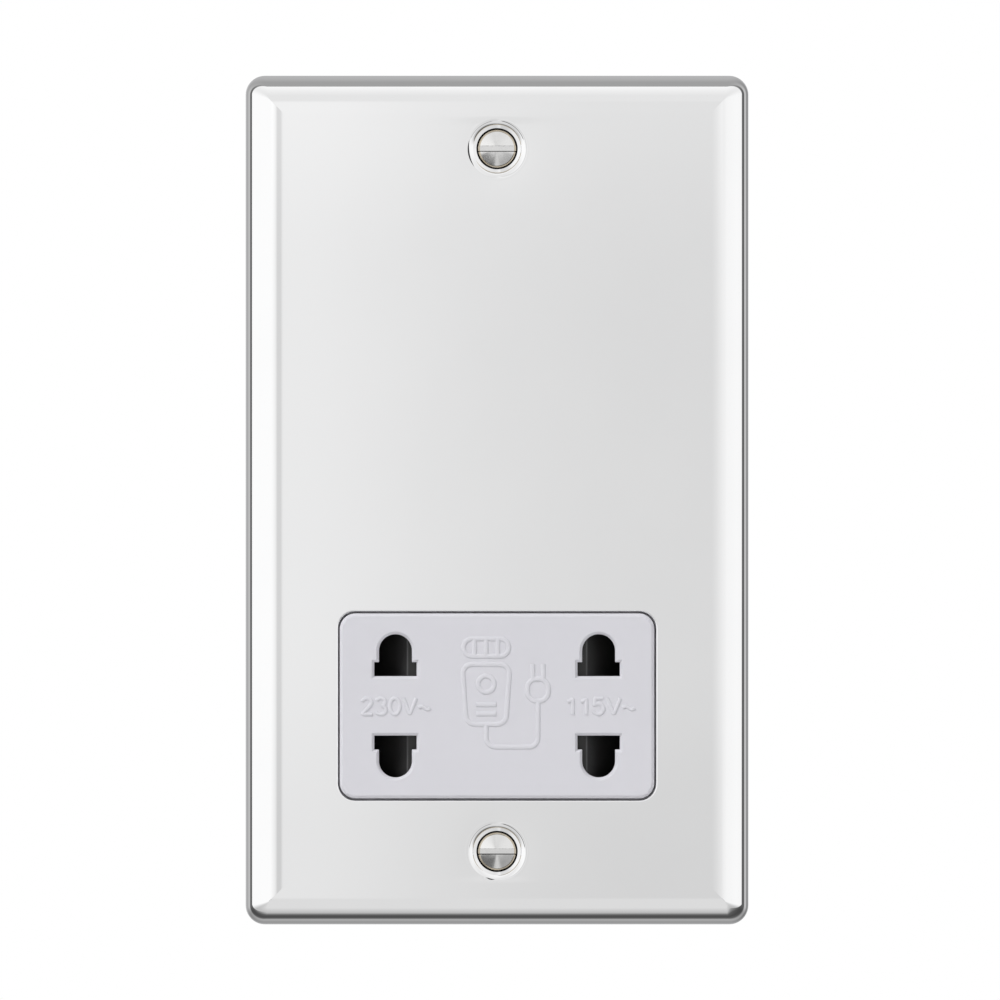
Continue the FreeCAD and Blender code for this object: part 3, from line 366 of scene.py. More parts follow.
class Skin:
    """A mesh in the making. Its sheets share points at their seams, and each keeps its own normals."""

    def __init__(self):
        self.numbers, self.points = {}, []
        self.faces, self.normals, self.slots = [], [], []

    def number(self, place):
        key = tuple(round(c, 4) for c in place)
        if key not in self.numbers:
            self.numbers[key] = len(self.points)
            self.points.append(Vector((place[0], -place[1], place[2])) * MM)
        return self.numbers[key]

    def face(self, corners, normals, slot=0):
        """Adds a face, turned so that it looks the way that its normals point."""
        numbers = [self.number(c) for c in corners]
        kept = [i for i, n in enumerate(numbers) if n != numbers[i - 1]]
        if len(kept) < 3:
            return
        outward = [Vector((n[0], -n[1], n[2])).normalized() for n in normals]
        a, b, c = (self.points[numbers[i]] for i in (kept[0], kept[1], kept[-1]))
        if (b - a).cross(c - a).dot(sum((outward[i] for i in kept), Vector())) < 0:
            kept.reverse()
        self.faces.append([numbers[i] for i in kept])
        self.normals.extend(outward[i] for i in kept)
        self.slots.append(slot)

    def sheet(self, rows, normals, slot=0):
        """Quads between rows of places, each row closed on itself."""
        count = len(rows[0])
        for first, second, near, far in zip(rows, rows[1:], normals, normals[1:]):
            for i in range(count):
                j = (i + 1) % count
                corners = [first[i], first[j], second[j], second[i]]
                self.face(corners, [near[i], near[j], far[j], far[i]], slot)

    def fill(self, loops, extra, out, normal, slot=0):
        """Fills between an outer loop and its holes, all (x, z), on a surface given by out(x, z)."""
        places, edges = [], []
        for loop in loops:
            first = len(places)
            places.extend(Vector(p) for p in loop)
            edges.extend((first + i, first + (i + 1) % len(loop)) for i in range(len(loop)))
        places.extend(Vector(p) for p in extra)
        found = delaunay_2d_cdt(places, edges, [], 1, 1e-5)
        for triangle in found[2]:
            spots = [found[0][i] for i in triangle]
            middle = sum(spots, Vector((0.0, 0.0))) / 3
            if any(lies_in(middle.x, middle.y, hole) for hole in loops[1:]):
                continue
            corners = [(p.x, out(p.x, p.y), p.y) for p in spots]
            self.face(corners, [normal(p.x, p.y) for p in spots], slot)

    def turned(self, profile, x, z, segments, slot=0, sharp=0.6):
        """Turns a profile of (radius, out) about the line at (x, z). Material lies to its right."""
        ways = []
        for (r0, o0), (r1, o1) in zip(profile, profile[1:]):
            ways.append(Vector((o0 - o1, r1 - r0)).normalized())
        for number, way in enumerate(ways):
            before = ways[number - 1] if number else way
            after = ways[number + 1] if number + 1 < len(ways) else way
            ends = [way + other if way.angle(other) < sharp else way for other in (before, after)]
            rows, normals = [], []
            for (radius, out), end in zip(profile[number:number + 2], ends):
                rows.append([(x + c * radius, out, z + s * radius) for c, s in spokes(segments)])
                normals.append([(c * end.x, end.y, s * end.x) for c, s in spokes(segments)])
            self.sheet(rows, normals, slot)

    def thread(self, x, z, start, end, radius, pitch, slot=0, segments=24, steps=6):
        """A threaded rod from one level to another, pointed at its end and closed there."""
        heading = 1.0 if end > start else -1.0
        length = abs(end - start)
        count = int(length / pitch * steps)
        depth = pitch * 0.5

        def reach(along, turn):
            wave = abs(((along / pitch + turn) % 1.0) * 2 - 1)
            return min(radius - depth * wave, radius - depth + max(length - along, 0.0) * 0.9)

        rows, normals = [], []
        for row in range(count + 1):
            along = length * row / count
            places, outward = [], []
            for i in range(segments):
                turn = i / segments
                c, s = math.cos(math.tau * turn), math.sin(math.tau * turn)
                r = reach(along, turn)
                slope = (reach(along + 0.02, turn) - reach(along - 0.02, turn)) / 0.04
                places.append((x + c * r, start + heading * along, z + s * r))
                outward.append((c, -slope * heading, s))
            rows.append(places)
            normals.append(outward)
        self.sheet(rows, normals, slot)
        tip = (x, end, z)
        for i in range(segments):
            self.face([tip, rows[-1][i], rows[-1][(i + 1) % segments]], [(0.0, heading, 0.0)] * 3, slot)

    def piece(self, name, *finishes):
        mesh = bpy.data.meshes.new(name)
        mesh.from_pydata(self.points, [], self.faces)
        for finish in finishes:
            mesh.materials.append(finish)
        mesh.polygons.foreach_set("material_index", self.slots)
        mesh.polygons.foreach_set("use_smooth", [True] * len(self.faces))
        mesh.normals_split_custom_set(self.normals)
        mesh.update()
        return put_in_scene(name, mesh)


def put_in_scene(name, data):
    piece = bpy.data.objects.new(name, data)
    bpy.context.scene.collection.objects.link(piece)
    return piece


def own_shading(mesh):
    """Lets a mesh take its normals from its own faces again."""
    given = mesh.attributes.get("custom_normal")
    if given:
        mesh.attributes.remove(given)


def spokes(segments):
    """Directions (x, z) spread evenly round a circle."""
    turns = [math.tau * i / segments for i in range(segments)]
    return [(math.cos(turn), math.sin(turn)) for turn in turns]


def circle(x, z, radius, segments):
    return [(x + radius * c, z + radius * s) for c, s in spokes(segments)]


def ring(half_width, half_height, radius, up=0.0, corner_steps=10, side_steps=36):
    """Places round a rectangle with round corners, as (x, z, outward x, outward z)."""
    reach, rise = half_width - radius, half_height - radius
    middles = [(reach, up + rise), (-reach, up + rise), (-reach, up - rise), (reach, up - rise)]
    spots = []
    for quarter, (x, z) in enumerate(middles):
        for step in range(corner_steps + 1):
            angle = math.radians(90.0 * (quarter + step / corner_steps))
            c, s = math.cos(angle), math.sin(angle)
            spots.append((x + radius * c, z + radius * s, c, s))
        next_x, next_z = middles[(quarter + 1) % 4]
        for step in range(1, side_steps):
            share = step / side_steps
            along = (x + (next_x - x) * share, z + (next_z - z) * share)
            spots.append((along[0] + radius * c, along[1] + radius * s, c, s))
    return spots


def lies_in(x, z, loop):
    """Whether a place lies inside a closed loop of (x, z)."""
    crossings = 0
    for (x0, z0), (x1, z1) in zip(loop, loop[1:] + loop[:1]):
        if (z0 > z) != (z1 > z) and x < x0 + (z - z0) / (z1 - z0) * (x1 - x0):
            crossings += 1
    return crossings % 2 == 1


def keep(piece, body, slot, *nodes):
    """Ties a finished piece to its body and hides the nodes that it stands for. Its slot is not used."""
    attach(piece, body)
    if nodes:
        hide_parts(*nodes)
    return piece


# Pressed plate
ROLL = 5.0
ROLL_END = 4.0
ROLL_STEPS = 20
LEAD_IN = 3.0
LEAD_RISE = 0.05
LEAD_STEPS = 16
LEAD_PARTS = 200
FACE_INSET = ROLL_END + LEAD_IN
OUTER_CORNER = 3.3
CORNER_CLOSING = 0.8
SMALLEST_CORNER = 0.03
BACK_CORNER = 1.4
BACK_LEVEL = PLATE_OUT - SHEET
APERTURE = (27.28, 16.22, 2.9)
APERTURE_ROUNDING = 0.28
STUD_PITCH = 0.5
STUD_PLAIN_END = 1.0
STUD_SEGMENTS = 24

# Seats of the fixing screws. A crevice is the angle of its middle, its half spread and its gap
SEAT_SEGMENTS = 128
SEAT_EDGE = 3.54
SEAT_SLOPE = 0.07
SEAT_STEPS = 4
LIP_INNER = 4.1
LIP_WIDTH, WIDTH_BITE = 1.3, 0.62
LIP_CURVE, CURVE_BITE = 4.0, 2.8
LIP_DROP = 0.4
LIP_STEPS = 28
UPPER_CREVICE = (190.0, 28.0, 0.27)
LOWER_CREVICE = (256.0, 9.0, 0.2)
DENT = 0.007
DENT_REACH = 3.0
DENT_END = 20.0
EDGE_FADE = 1.5
SCREW_HOLE = 2.0
CONE_FOOT, CONE_TOP = 2.5, 4.1
BOSS_RADIUS, BOSS_NOSE, BOSS_LEVEL = 5.7, 3.2, 2.0
FACE_RINGS = (5.7, 6.2, 6.9, 7.7, 8.6, 9.8, 11.2, 13.0, 15.5, 18.5)
EDGE_ROWS = (0.15, 0.3, 0.45, 0.6)
EDGE_SPAN, EDGE_STEP = 14.0, 0.4


def roll_profile(depth):
    """The edge's section as (inset, out, tilt): a quarter round that eases into the flat face."""
    last = math.acos(1 - ROLL_END / ROLL)
    rows = []
    for step in range(ROLL_STEPS + 1):
        angle = last * step / ROLL_STEPS
        c, s = math.cos(angle), math.sin(angle)
        rows.append((ROLL * (1 - c), depth * s, math.atan2(depth * c, ROLL * s)))
    inset, out, first = rows[-1]
    for step in range(1, LEAD_STEPS + 1):
        for part in range(LEAD_PARTS):
            share = (step - 1 + (part + 0.5) / LEAD_PARTS) / LEAD_STEPS
            out += math.tan(first * (1 - share) ** 3) * LEAD_IN / (LEAD_STEPS * LEAD_PARTS)
        share = step / LEAD_STEPS
        rows.append((inset + LEAD_IN * share, out, first * (1 - share) ** 3))
    lift = PLATE_OUT - out
    return [(inset, out + lift * smooth(inset / ROLL_END), tilt) for inset, out, tilt in rows]


def edge_ring(inset):
    """The plate's outline drawn in by an inset, with corners that close as they go in."""
    corner = max(OUTER_CORNER - CORNER_CLOSING * inset, SMALLEST_CORNER)
    closing = CORNER_CLOSING if corner > SMALLEST_CORNER else 0.0
    return ring(HALF_WIDTH - inset, HALF_HEIGHT - inset, corner), closing


def outer_edge(skin):
    """The visible rolled edge. Gives its last ring, where the flat face starts, and its foot."""
    rows, normals = [], []
    for inset, out, tilt in roll_profile(PLATE_OUT - LEAD_RISE):
        spots, closing = edge_ring(inset)
        rows.append([(x, out, z) for x, z, _, _ in spots])
        flat, side = math.cos(tilt), math.sin(tilt)
        normals.append([(c * side, flat * ((1 - closing) * (abs(c) + abs(s)) + closing), s * side)
                        for _, _, c, s in spots])
    skin.sheet(rows, normals)
    return [(x, z) for x, _, z in rows[-1]], rows[0]


def inner_edge(skin):
    """The hidden inside of the rolled edge. Gives its last ring and its foot."""
    roll, corner = ROLL - SHEET, OUTER_CORNER - SHEET
    closing = corner - BACK_CORNER
    rows, normals = [], []
    for step in range(ROLL_STEPS + 1):
        angle = math.radians(90.0 * step / ROLL_STEPS)
        share = 1 - math.cos(angle)
        trim = SHEET + roll * share
        spots = ring(HALF_WIDTH - trim, HALF_HEIGHT - trim, corner - closing * share)
        rows.append([(x, BACK_LEVEL * math.sin(angle), z) for x, z, _, _ in spots])
        flat, side = -math.sin(angle), -BACK_LEVEL * math.cos(angle)
        normals.append([(c * side, flat * ((roll - closing) * (abs(c) + abs(s)) + closing), s * side)
                        for _, _, c, s in spots])
    skin.sheet(rows, normals, 1)
    return [(x, z) for x, _, z in rows[-1]], rows[0]


def seat_lip(turn, upper):
    """Width and curve of a seat's lip one way, and the crevice where the press bit deepest."""
    middle, spread, gap = UPPER_CREVICE if upper else LOWER_CREVICE
    off = (math.degrees(turn) - middle + 180.0) % 360.0 - 180.0
    bite = max(math.cos(math.radians(off)), 0.0) ** 3
    crevice = gap * max(1 - (off / spread) ** 2, 0.0)
    return LIP_WIDTH - WIDTH_BITE * bite, LIP_CURVE - CURVE_BITE * bite, crevice


def face_out(x, z):
    """The face draws in a little round each screw's seat, rounds over its lip and dishes to its edge."""
    out = PLATE_OUT
    for fx, fz in FIXINGS:
        radius = math.hypot(x - fx, z - fz)
        if radius > DENT_END:
            continue
        width, curve, _ = seat_lip(math.atan2(z - fz, x - fx), fz > 0)
        rim = min(max((HALF_HEIGHT - FACE_INSET - abs(z)) / EDGE_FADE, 0.0), 1.0)
        out -= DENT * math.exp(-max(radius - LIP_INNER - width, 0.0) / DENT_REACH) * smooth(rim)
        out -= LIP_DROP * min(max((LIP_INNER + width - radius) / width, 0.0), 1.0) ** curve
        out -= SEAT_SLOPE * max(LIP_INNER - radius, 0.0)
    return out


def face_normal(x, z, step=0.004):
    across = (face_out(x + step, z) - face_out(x - step, z)) / (2 * step)
    along = (face_out(x, z + step) - face_out(x, z - step)) / (2 * step)
    return (-across, 1.0, -along)


def face_points():
    """Places on the face that its shape round the seats needs."""
    inside = HALF_HEIGHT - FACE_INSET
    columns = round(2 * EDGE_SPAN / EDGE_STEP) + 1
    places = []
    for fx, fz in FIXINGS:
        for away in FACE_RINGS:
            places.extend((x, z) for x, z in circle(fx, fz, away, SEAT_SEGMENTS)
                          if abs(z) < inside - 0.1 and abs(z - INSERT_UP) > APERTURE[1] + 0.8)
        for row in EDGE_ROWS:
            up = math.copysign(inside - row, fz)
            places.extend((fx - EDGE_SPAN + i * EDGE_STEP, up) for i in range(columns))
    return places


def aperture_edge(skin, steps=6):
    """The window for the insert: a small rounded edge and the sheet's own thickness."""
    half_width, half_height, corner = APERTURE
    foot = [(x, BACK_LEVEL, z) for x, z, _, _ in ring(half_width, half_height, corner, INSERT_UP)]
    rows, normals = [], []
    for step in range(steps + 1):
        angle = math.radians(90.0 * step / steps)
        flat, side = math.sin(angle), math.cos(angle)
        grown = APERTURE_ROUNDING * (1 - side)
        out = PLATE_OUT - APERTURE_ROUNDING * (1 - flat)
        spots = ring(half_width + grown, half_height + grown, corner + grown, INSERT_UP)
        rows.append([(x, out, z) for x, z, _, _ in spots])
        normals.append([(-c * side, flat, -s * side) for _, _, c, s in spots])
    skin.sheet(rows, normals)
    # The window's inner wall takes the near-black finish: painted shade in the gap round the insert.
    skin.sheet([foot, rows[0]], [normals[0], normals[0]], 2)
    return [(x, z) for x, _, z in rows[-1]], [(x, z) for x, _, z in foot]


def screw_seat(skin, x, z, nudge=0.006):
    """Dished seat pressed into the plate: rounded lip, countersink and hole in dull metal painted near-black
    as shade, boss behind.
    """
    ways = spokes(SEAT_SEGMENTS)
    lips = [seat_lip(math.atan2(s, c), z > 0) for c, s in ways]

    def rung(radii):
        return [(x + r * c, z + r * s) for r, (c, s) in zip(radii, ways)]

    def surface(rungs, nudges):
        places = [[(px, face_out(px, pz), pz) for px, pz in rung(radii)] for radii in rungs]
        tilts = [[face_normal(px, pz) for px, pz in rung([r + n for r in radii])]
                 for radii, n in zip(rungs, nudges)]
        skin.sheet(places, tilts)
        return places

    shares = [step / SEAT_STEPS for step in range(SEAT_STEPS + 1)]
    rungs = [[SEAT_EDGE + (LIP_INNER - SEAT_EDGE) * share] * SEAT_SEGMENTS for share in shares]
    seat = surface(rungs, [0.0] * SEAT_STEPS + [-nudge])
    shares = [(step / LIP_STEPS) ** 1.3 for step in range(LIP_STEPS + 1)]
    rungs = [[LIP_INNER + width * share for width, _, _ in lips] for share in shares]
    lip = surface(rungs, [nudge] + [0.0] * (LIP_STEPS - 1) + [-nudge])
    brink = rung([LIP_INNER + width + gap for width, _, gap in lips])
    middle = rung([LIP_INNER + width + gap / 2 for width, _, gap in lips])
    floor = [(px, face_out(px, pz) - gap, pz) for (px, pz), (_, _, gap) in zip(middle, lips)]
    rim = [(px, face_out(px, pz), pz) for px, pz in brink]
    # The crevice round the lip takes the near-black finish: painted shade in the gap.
    skin.sheet([lip[-1], floor, rim], [[(0.0, 1.0, 0.0)] * SEAT_SEGMENTS] * 3, 2)
    foot = [(px, CONE_TOP, pz) for px, pz in rung([SEAT_EDGE] * SEAT_SEGMENTS)]
    inward = [(-c, 0.0, -s) for c, s in ways]
    skin.sheet([foot, seat[0]], [inward, inward], 2)
    cone = [(SCREW_HOLE, BOSS_LEVEL), (SCREW_HOLE, CONE_FOOT), (SEAT_EDGE, CONE_TOP)]
    skin.turned(cone, x, z, SEAT_SEGMENTS, 2)
    boss = [(BOSS_RADIUS, BACK_LEVEL), (BOSS_NOSE, BOSS_LEVEL), (SCREW_HOLE, BOSS_LEVEL)]
    skin.turned(boss, x, z, SEAT_SEGMENTS, 1)
    return brink


def front_plate():
    """The whole pressing, with threaded studs on its back."""
    skin = Skin()
    face_loop, outer_foot = outer_edge(skin)
    back_loop, inner_foot = inner_edge(skin)
    skin.sheet([outer_foot, inner_foot], [[(0.0, -1.0, 0.0)] * len(outer_foot)] * 2, 1)
    window, window_back = aperture_edge(skin)
    seats = [screw_seat(skin, x, z) for x, z in FIXINGS]
    skin.fill([face_loop, window, *seats], face_points(), face_out, face_normal)
    bosses = [circle(x, z, BOSS_RADIUS, SEAT_SEGMENTS) for x, z in FIXINGS]
    studs = [circle(x, z, STUD_RADIUS, STUD_SEGMENTS) for x, z in STUDS]
    skin.fill([back_loop, window_back, *bosses, *studs], [],
              lambda x, z: BACK_LEVEL, lambda x, z: (0.0, -1.0, 0.0), 1)
    root = STUD_RADIUS - STUD_PITCH / 2
    for x, z in STUDS:
        shank = [(STUD_RADIUS, BACK_LEVEL), (STUD_RADIUS, STUD_PLAIN_END), (root, STUD_PLAIN_END)]
        skin.turned(shank, x, z, STUD_SEGMENTS, 1)
        skin.thread(x, z, STUD_PLAIN_END, PLATE_LOW.y, STUD_RADIUS, STUD_PITCH, 1)
    piece = skin.piece("pressed_plate", CHROME, PLATE_BACK, PAINTED_SHADE_METAL)
    keep(piece, "socket", "plate", "front_plate")


# Pieces grown by node trees
FILLET_POLY = {"mode": "POLY"}
SHARP_METAL = 20


def harvest(source, name):
    """Turns what an object evaluates to into a plain mesh piece, and removes the object."""
    bpy.context.view_layer.update()
    state = bpy.context.evaluated_depsgraph_get()
    mesh = bpy.data.meshes.new_from_object(source.evaluated_get(state), depsgraph=state)
    bpy.data.objects.remove(source)
    mesh.name = name
    return put_in_scene(name, mesh)


class Growth(Graph):
    """A Geometry Nodes tree with named inputs, run once on its seed points and kept as a mesh."""

    KINDS = {float: "NodeSocketFloat", int: "NodeSocketInt", Vector: "NodeSocketVector",
             bpy.types.Object: "NodeSocketObject", bpy.types.Material: "NodeSocketMaterial"}

    def __init__(self, name, seed=(), edges=(), **inputs):
        super().__init__(bpy.data.node_groups.new(name, "GeometryNodeTree"))
        self.name, self.inputs, self.sockets = name, inputs, {}
        face = self.tree.interface
        face.new_socket("Geometry", in_out="INPUT", socket_type="NodeSocketGeometry")
        for key, value in inputs.items():
            self.sockets[key] = face.new_socket(key, in_out="INPUT", socket_type=self.KINDS[type(value)])
        face.new_socket("Geometry", in_out="OUTPUT", socket_type="NodeSocketGeometry")
        self.entry = self.tree.nodes.new("NodeGroupInput")
        mesh = bpy.data.meshes.new(name)
        mesh.from_pydata([Vector(p) * MM for p in seed], edges, [])
        self.carrier = put_in_scene(name + "_seed", mesh)

    def given(self, key):
        return Socket(self, self.entry.outputs[key])

    def copies(self, points):
        """The model that was given, set on each point."""
        model = self.node("GeometryNodeObjectInfo", None, {"Object": self.given("model")}).of("Geometry")
        return self.node("GeometryNodeInstanceOnPoints", None, {"Points": points, "Instance": model})

    def line(self):
        """Points in a row: count, start and step are inputs."""
        sockets = {"Count": self.given("count"), "Start Location": self.given("start")}
        sockets["Offset"] = self.given("step")
        return self.node("GeometryNodeMeshLine", {"mode": "OFFSET"}, sockets)

    def rounded_path(self, path, radius, steps):
        """A path with its corners turned into arcs."""
        sockets = {"Curve": path, "Radius": radius, "Limit Radius": True, "Count": steps}
        return self.node("GeometryNodeFilletCurve", FILLET_POLY, sockets)

    def tube(self, path, radius, sides):
        around = self.node("GeometryNodeCurvePrimitiveCircle", None, {"Radius": radius, "Resolution": sides})
        sockets = {"Curve": path, "Profile Curve": around, "Fill Caps": True}
        return self.node("GeometryNodeCurveToMesh", None, sockets)

    def grown(self, geometry, sharp):
        """Runs the tree and keeps its result, with edges sharper than an angle left crisp."""
        solid = self.node("GeometryNodeRealizeInstances", None, {"Geometry": geometry})
        sockets = {"Geometry": solid, "Material": self.given("finish")}
        dressed = self.node("GeometryNodeSetMaterial", None, sockets)
        end = self.tree.nodes.new("NodeGroupOutput")
        self.tree.links.new(dressed.socket, end.inputs["Geometry"])
        modifier = self.carrier.modifiers.new(self.name, "NODES")
        modifier.node_group = self.tree
        for key, value in self.inputs.items():
            modifier[self.sockets[key].identifier] = value
        piece = harvest(self.carrier, self.name)
        soften(piece, sharp)
        return piece


def soften(piece, sharp):
    piece.data.polygons.foreach_set("use_smooth", [True] * len(piece.data.polygons))
    piece.data.set_sharp_from_angle(angle=math.radians(sharp))


def set_out(name, model, places, finish):
    """Copies of a model at (x, out, z) places, as one piece."""
    growth = Growth(name, [(x, -out, z) for x, out, z in places], model=model, finish=finish)
    piece = growth.grown(growth.copies(growth.given("Geometry")), SHARP_METAL)
    bpy.data.objects.remove(model)
    return piece


# Screws and nuts. A profile is (radius, out)
HEAD_SEGMENTS = 96
HEAD_RIM = 3.3
COUNTERSINK = [(0.0, 1.2), (1.3, 1.2), (1.55, 1.4), (1.55, 2.7)]
HEAD_EDGE = [(HEAD_RIM - 0.06, 4.32), (HEAD_RIM, 4.38), (HEAD_RIM, 4.50)]
CROWN_FOOT, CROWN_STEPS = 4.82, 14
FIXING_SLOT = (0.75, 1.05)
FIXING_ROD = (1.45, SCREWS_LOW.y, 1.75, 0.6)
CHEESE_HEAD = [(0.0, 0.0), (2.25, 0.0), (2.6, 0.3), (2.6, 2.2), (2.45, 2.4), (0.0, 2.4)]
CLAMP_SLOT = (1.2, 1.1)
CLAMP_ROD = (0.0, -3.3, 1.5, 0.5)
MAINS_CLAMP_OUT, EARTH_CLAMP_OUT = -24.4, -9.4
NUT_APOTHEM, NUT_BORE = 2.75, 1.52
NUT_SEAT = 0.97 * NUT_APOTHEM
NUT_SEGMENTS = 72


def slotted_head(name, profile, slot_floor, slot_width, edge):
    """A turned head on the middle line, with a slot milled across it and its edges broken."""
    skin = Skin()
    skin.turned(profile, 0.0, 0.0, HEAD_SEGMENTS)
    blank = skin.piece(name + "_blank")
    reach = 3 * max(radius for radius, _ in profile)
    above = profile[-1][1] + 1
    cutter = put_in_scene(name + "_cutter", bpy.data.meshes.new(name + "_cutter"))
    work = bmesh.new()
    span = Matrix.Diagonal((reach * MM, (above - slot_floor) * MM, slot_width * MM, 1.0))
    middle = Matrix.Translation((0.0, -(slot_floor + above) / 2 * MM, 0.0))
    bmesh.ops.create_cube(work, size=1.0, matrix=middle @ span)
    work.to_mesh(cutter.data)
    work.free()
    slot = blank.modifiers.new("slot", "BOOLEAN")
    slot.operation, slot.object, slot.solver = "DIFFERENCE", cutter, "EXACT"
    broken = blank.modifiers.new("edge", "BEVEL")
    broken.width, broken.segments, broken.limit_method = edge * MM, 2, "ANGLE"
    broken.angle_limit = math.radians(40)
    head = harvest(blank, name + "_head")
    bpy.data.objects.remove(cutter)
    return head


def with_rod(name, head, start, end, radius, pitch):
    """Adds the threaded rod to a head."""
    skin = Skin()
    skin.thread(0.0, 0.0, start, end, radius, pitch)
    rod = skin.piece(name + "_rod")
    mesh = bpy.data.meshes.new(name)
    work = bmesh.new()
    for part in (head, rod):
        work.from_mesh(part.data)
        bpy.data.objects.remove(part)
    work.to_mesh(mesh)
    work.free()
    own_shading(mesh)
    model = put_in_scene(name, mesh)
    soften(model, SHARP_METAL)
    return model


def fixing_screws():
    """Raised countersunk machine screws, slots lying across."""
    top = SCREWS_HIGH.y
    profile = COUNTERSINK + HEAD_EDGE
    for step in range(CROWN_STEPS + 1):
        share = 1 - step / CROWN_STEPS
        profile.append((CROWN_RADIUS * share, top - (top - CROWN_FOOT) * share ** 1.3))
    depth, width = FIXING_SLOT
    head = slotted_head("fixing_screw", profile, top - depth, width, 0.09)
    model = with_rod("fixing_screw", head, *FIXING_ROD)
    piece = set_out("fixing_screw_pair", model, [(x, 0.0, z) for x, z in FIXINGS], SCREW_METAL)
    keep(piece, "socket", "fixing_screws", "fixing_screws")


def terminal_screws():
    """Cheese-head clamp screws, driven from behind."""
    head = slotted_head("clamp_screw", CHEESE_HEAD, *CLAMP_SLOT, 0.08)
    model = with_rod("clamp_screw", head, *CLAMP_ROD)
    model.data.transform(Matrix.Rotation(math.pi, 4, "X"))
    places = [(x, MAINS_CLAMP_OUT, TERMINAL_UP) for x in (TERMINAL_ACROSS, -TERMINAL_ACROSS)]
    places.append((EARTH_STUD[0], EARTH_CLAMP_OUT, EARTH_STUD[1]))
    piece = set_out("clamp_screws", model, places, ZINC)
    keep(piece, "socket", "terminal_screws", "terminal_screws")


def clamp_nuts():
    """Hexagon nuts on three of the studs, chamfered on both faces and bored through."""
    low, high = box_mm("clamp_nuts")
    sixth = math.pi / 3
    turns = [math.tau * i / NUT_SEGMENTS for i in range(NUT_SEGMENTS)]
    reach = [NUT_APOTHEM / math.cos((turn + sixth / 2) % sixth - sixth / 2) for turn in turns]
    ways = spokes(NUT_SEGMENTS)
    skin = Skin()
    bores, edges = [], []
    for level, inward in ((high.y, -1), (low.y, 1)):
        bore = [(c * NUT_BORE, level, s * NUT_BORE) for c, s in ways]
        seat = [(c * NUT_SEAT, level, s * NUT_SEAT) for c, s in ways]
        edge = [(c * r, level + inward * max(r - NUT_SEAT, 0.0) / 2, s * r) for (c, s), r in zip(ways, reach)]
        skin.sheet([bore, seat, edge], [[(0.0, -inward, 0.0)] * NUT_SEGMENTS] * 3)
        bores.append(bore)
        edges.append(edge)
    skin.sheet(edges, [[(c, 0.0, s) for c, s in ways]] * 2)
    skin.sheet(bores, [[(-c, 0.0, -s) for c, s in ways]] * 2)
    model = skin.piece("clamp_nut")
    own_shading(model.data)
    places = [(x, 0.0, z) for x, z in STUDS if (x, z) != EARTH_STUD]
    keep(set_out("stud_nuts", model, places, ZINC), "socket", "nuts", "clamp_nuts")


# Insert. Its face lies back from the solid's by the height of the raised marks
FACE_LEVEL = 5.12
HOLE_CHAMFER, CHAMFER_DEPTH = 0.45, 0.55
HOLE_FIELD = (25.0, 14.0)
EDGE_FIELD = (26.0, 15.0)
EDGE_TRIM = (0.15, 0.13)
NEAR = 0.02
WELD = 0.002


def front_moulding():
    """The moulding behind the plate, with its face set back and its edge drawn in from the window."""
    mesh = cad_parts["front_moulding"].data.copy()
    work = bmesh.new()
    work.from_mesh(mesh)
    bmesh.ops.remove_doubles(work, verts=work.verts, dist=WELD * MM)
    for vertex in work.verts:
        x, out, z = vertex.co.x / MM, -vertex.co.y / MM, vertex.co.z / MM - INSERT_UP
        chamfer_foot = abs(out - INSERT_FACE + HOLE_CHAMFER) < NEAR
        if out > INSERT_FACE - NEAR:
            vertex.co.y = -FACE_LEVEL * MM
        elif chamfer_foot and abs(x) < HOLE_FIELD[0] and abs(z) < HOLE_FIELD[1]:
            vertex.co.y = -(FACE_LEVEL - CHAMFER_DEPTH) * MM
        if out > BACK_LEVEL + 0.05 and (abs(x) > EDGE_FIELD[0] or abs(z) > EDGE_FIELD[1]):
            vertex.co.x -= math.copysign(EDGE_TRIM[0] * MM, x)
            vertex.co.z -= math.copysign(EDGE_TRIM[1] * MM, z)
    bmesh.ops.dissolve_limit(work, angle_limit=math.radians(1.0), verts=work.verts, edges=work.edges)
    work.to_mesh(mesh)
    work.free()
    mesh.materials.clear()
    mesh.materials.append(GREY_PLASTIC)
    piece = put_in_scene("moulded_insert", mesh)
    rounded(piece, 0.07, 2, 25)
    keep(harvest(piece, "moulded_insert"), "socket", "insert", "front_moulding")


def rounded(piece, width, segments=2, angle=30):
    """Breaks a moulding's or pressing's edges, and keeps its flats flat."""
    edge = piece.modifiers.new("edge", "BEVEL")
    edge.width, edge.segments, edge.limit_method = width * MM, segments, "ANGLE"
    edge.angle_limit = math.radians(angle)
    piece.data.polygons.foreach_set("use_smooth", [True] * len(piece.data.polygons))
    even = piece.modifiers.new("even", "WEIGHTED_NORMAL")
    even.keep_sharp = True


# Raised marks. A ground is its level, its way out, a drawing's turn, its finish and its slot
RIDGE_HEIGHT = 0.18
HOUSING_MARK_OUT = -15.7
FACE_ROOM = Vector((math.radians(90.0), 0.0, 0.0))
FACE_WALL = Vector((math.radians(90.0), 0.0, math.radians(180.0)))
INSERT_GROUND = (INSERT_FACE, 1, FACE_ROOM, GREY_PLASTIC, "insert")
HOUSING_GROUND = (HOUSING_MARK_OUT, -1, FACE_WALL, HOUSING_PLASTIC, "housing")
SIGN_MIDDLE = (0.6, -33.1)
SIGN_STROKE, SIGN_FILLET = 0.42, 1.6
VOLTAGES = (("230V~", -17.35), ("115V~", 17.75))
VOLTAGE_UP = -35.4
VOLTAGE_WIDTH, VOLTAGE_HEIGHT = 12.0, 2.75
VOLTAGE_STROKE, VOLTAGE_FILLET = 0.33, 0.12
TERMINAL_MARKS = (("L", TERMINAL_ACROSS), ("N", -TERMINAL_ACROSS))
TERMINAL_MARK_UP, EARTH_MARK_UP = -24.4, -46.5
TERMINAL_MARK_WIDTH, TERMINAL_MARK_HEIGHT = 2.8, 3.6
HOUSING_STROKE, HOUSING_FILLET = 0.4, 0.1
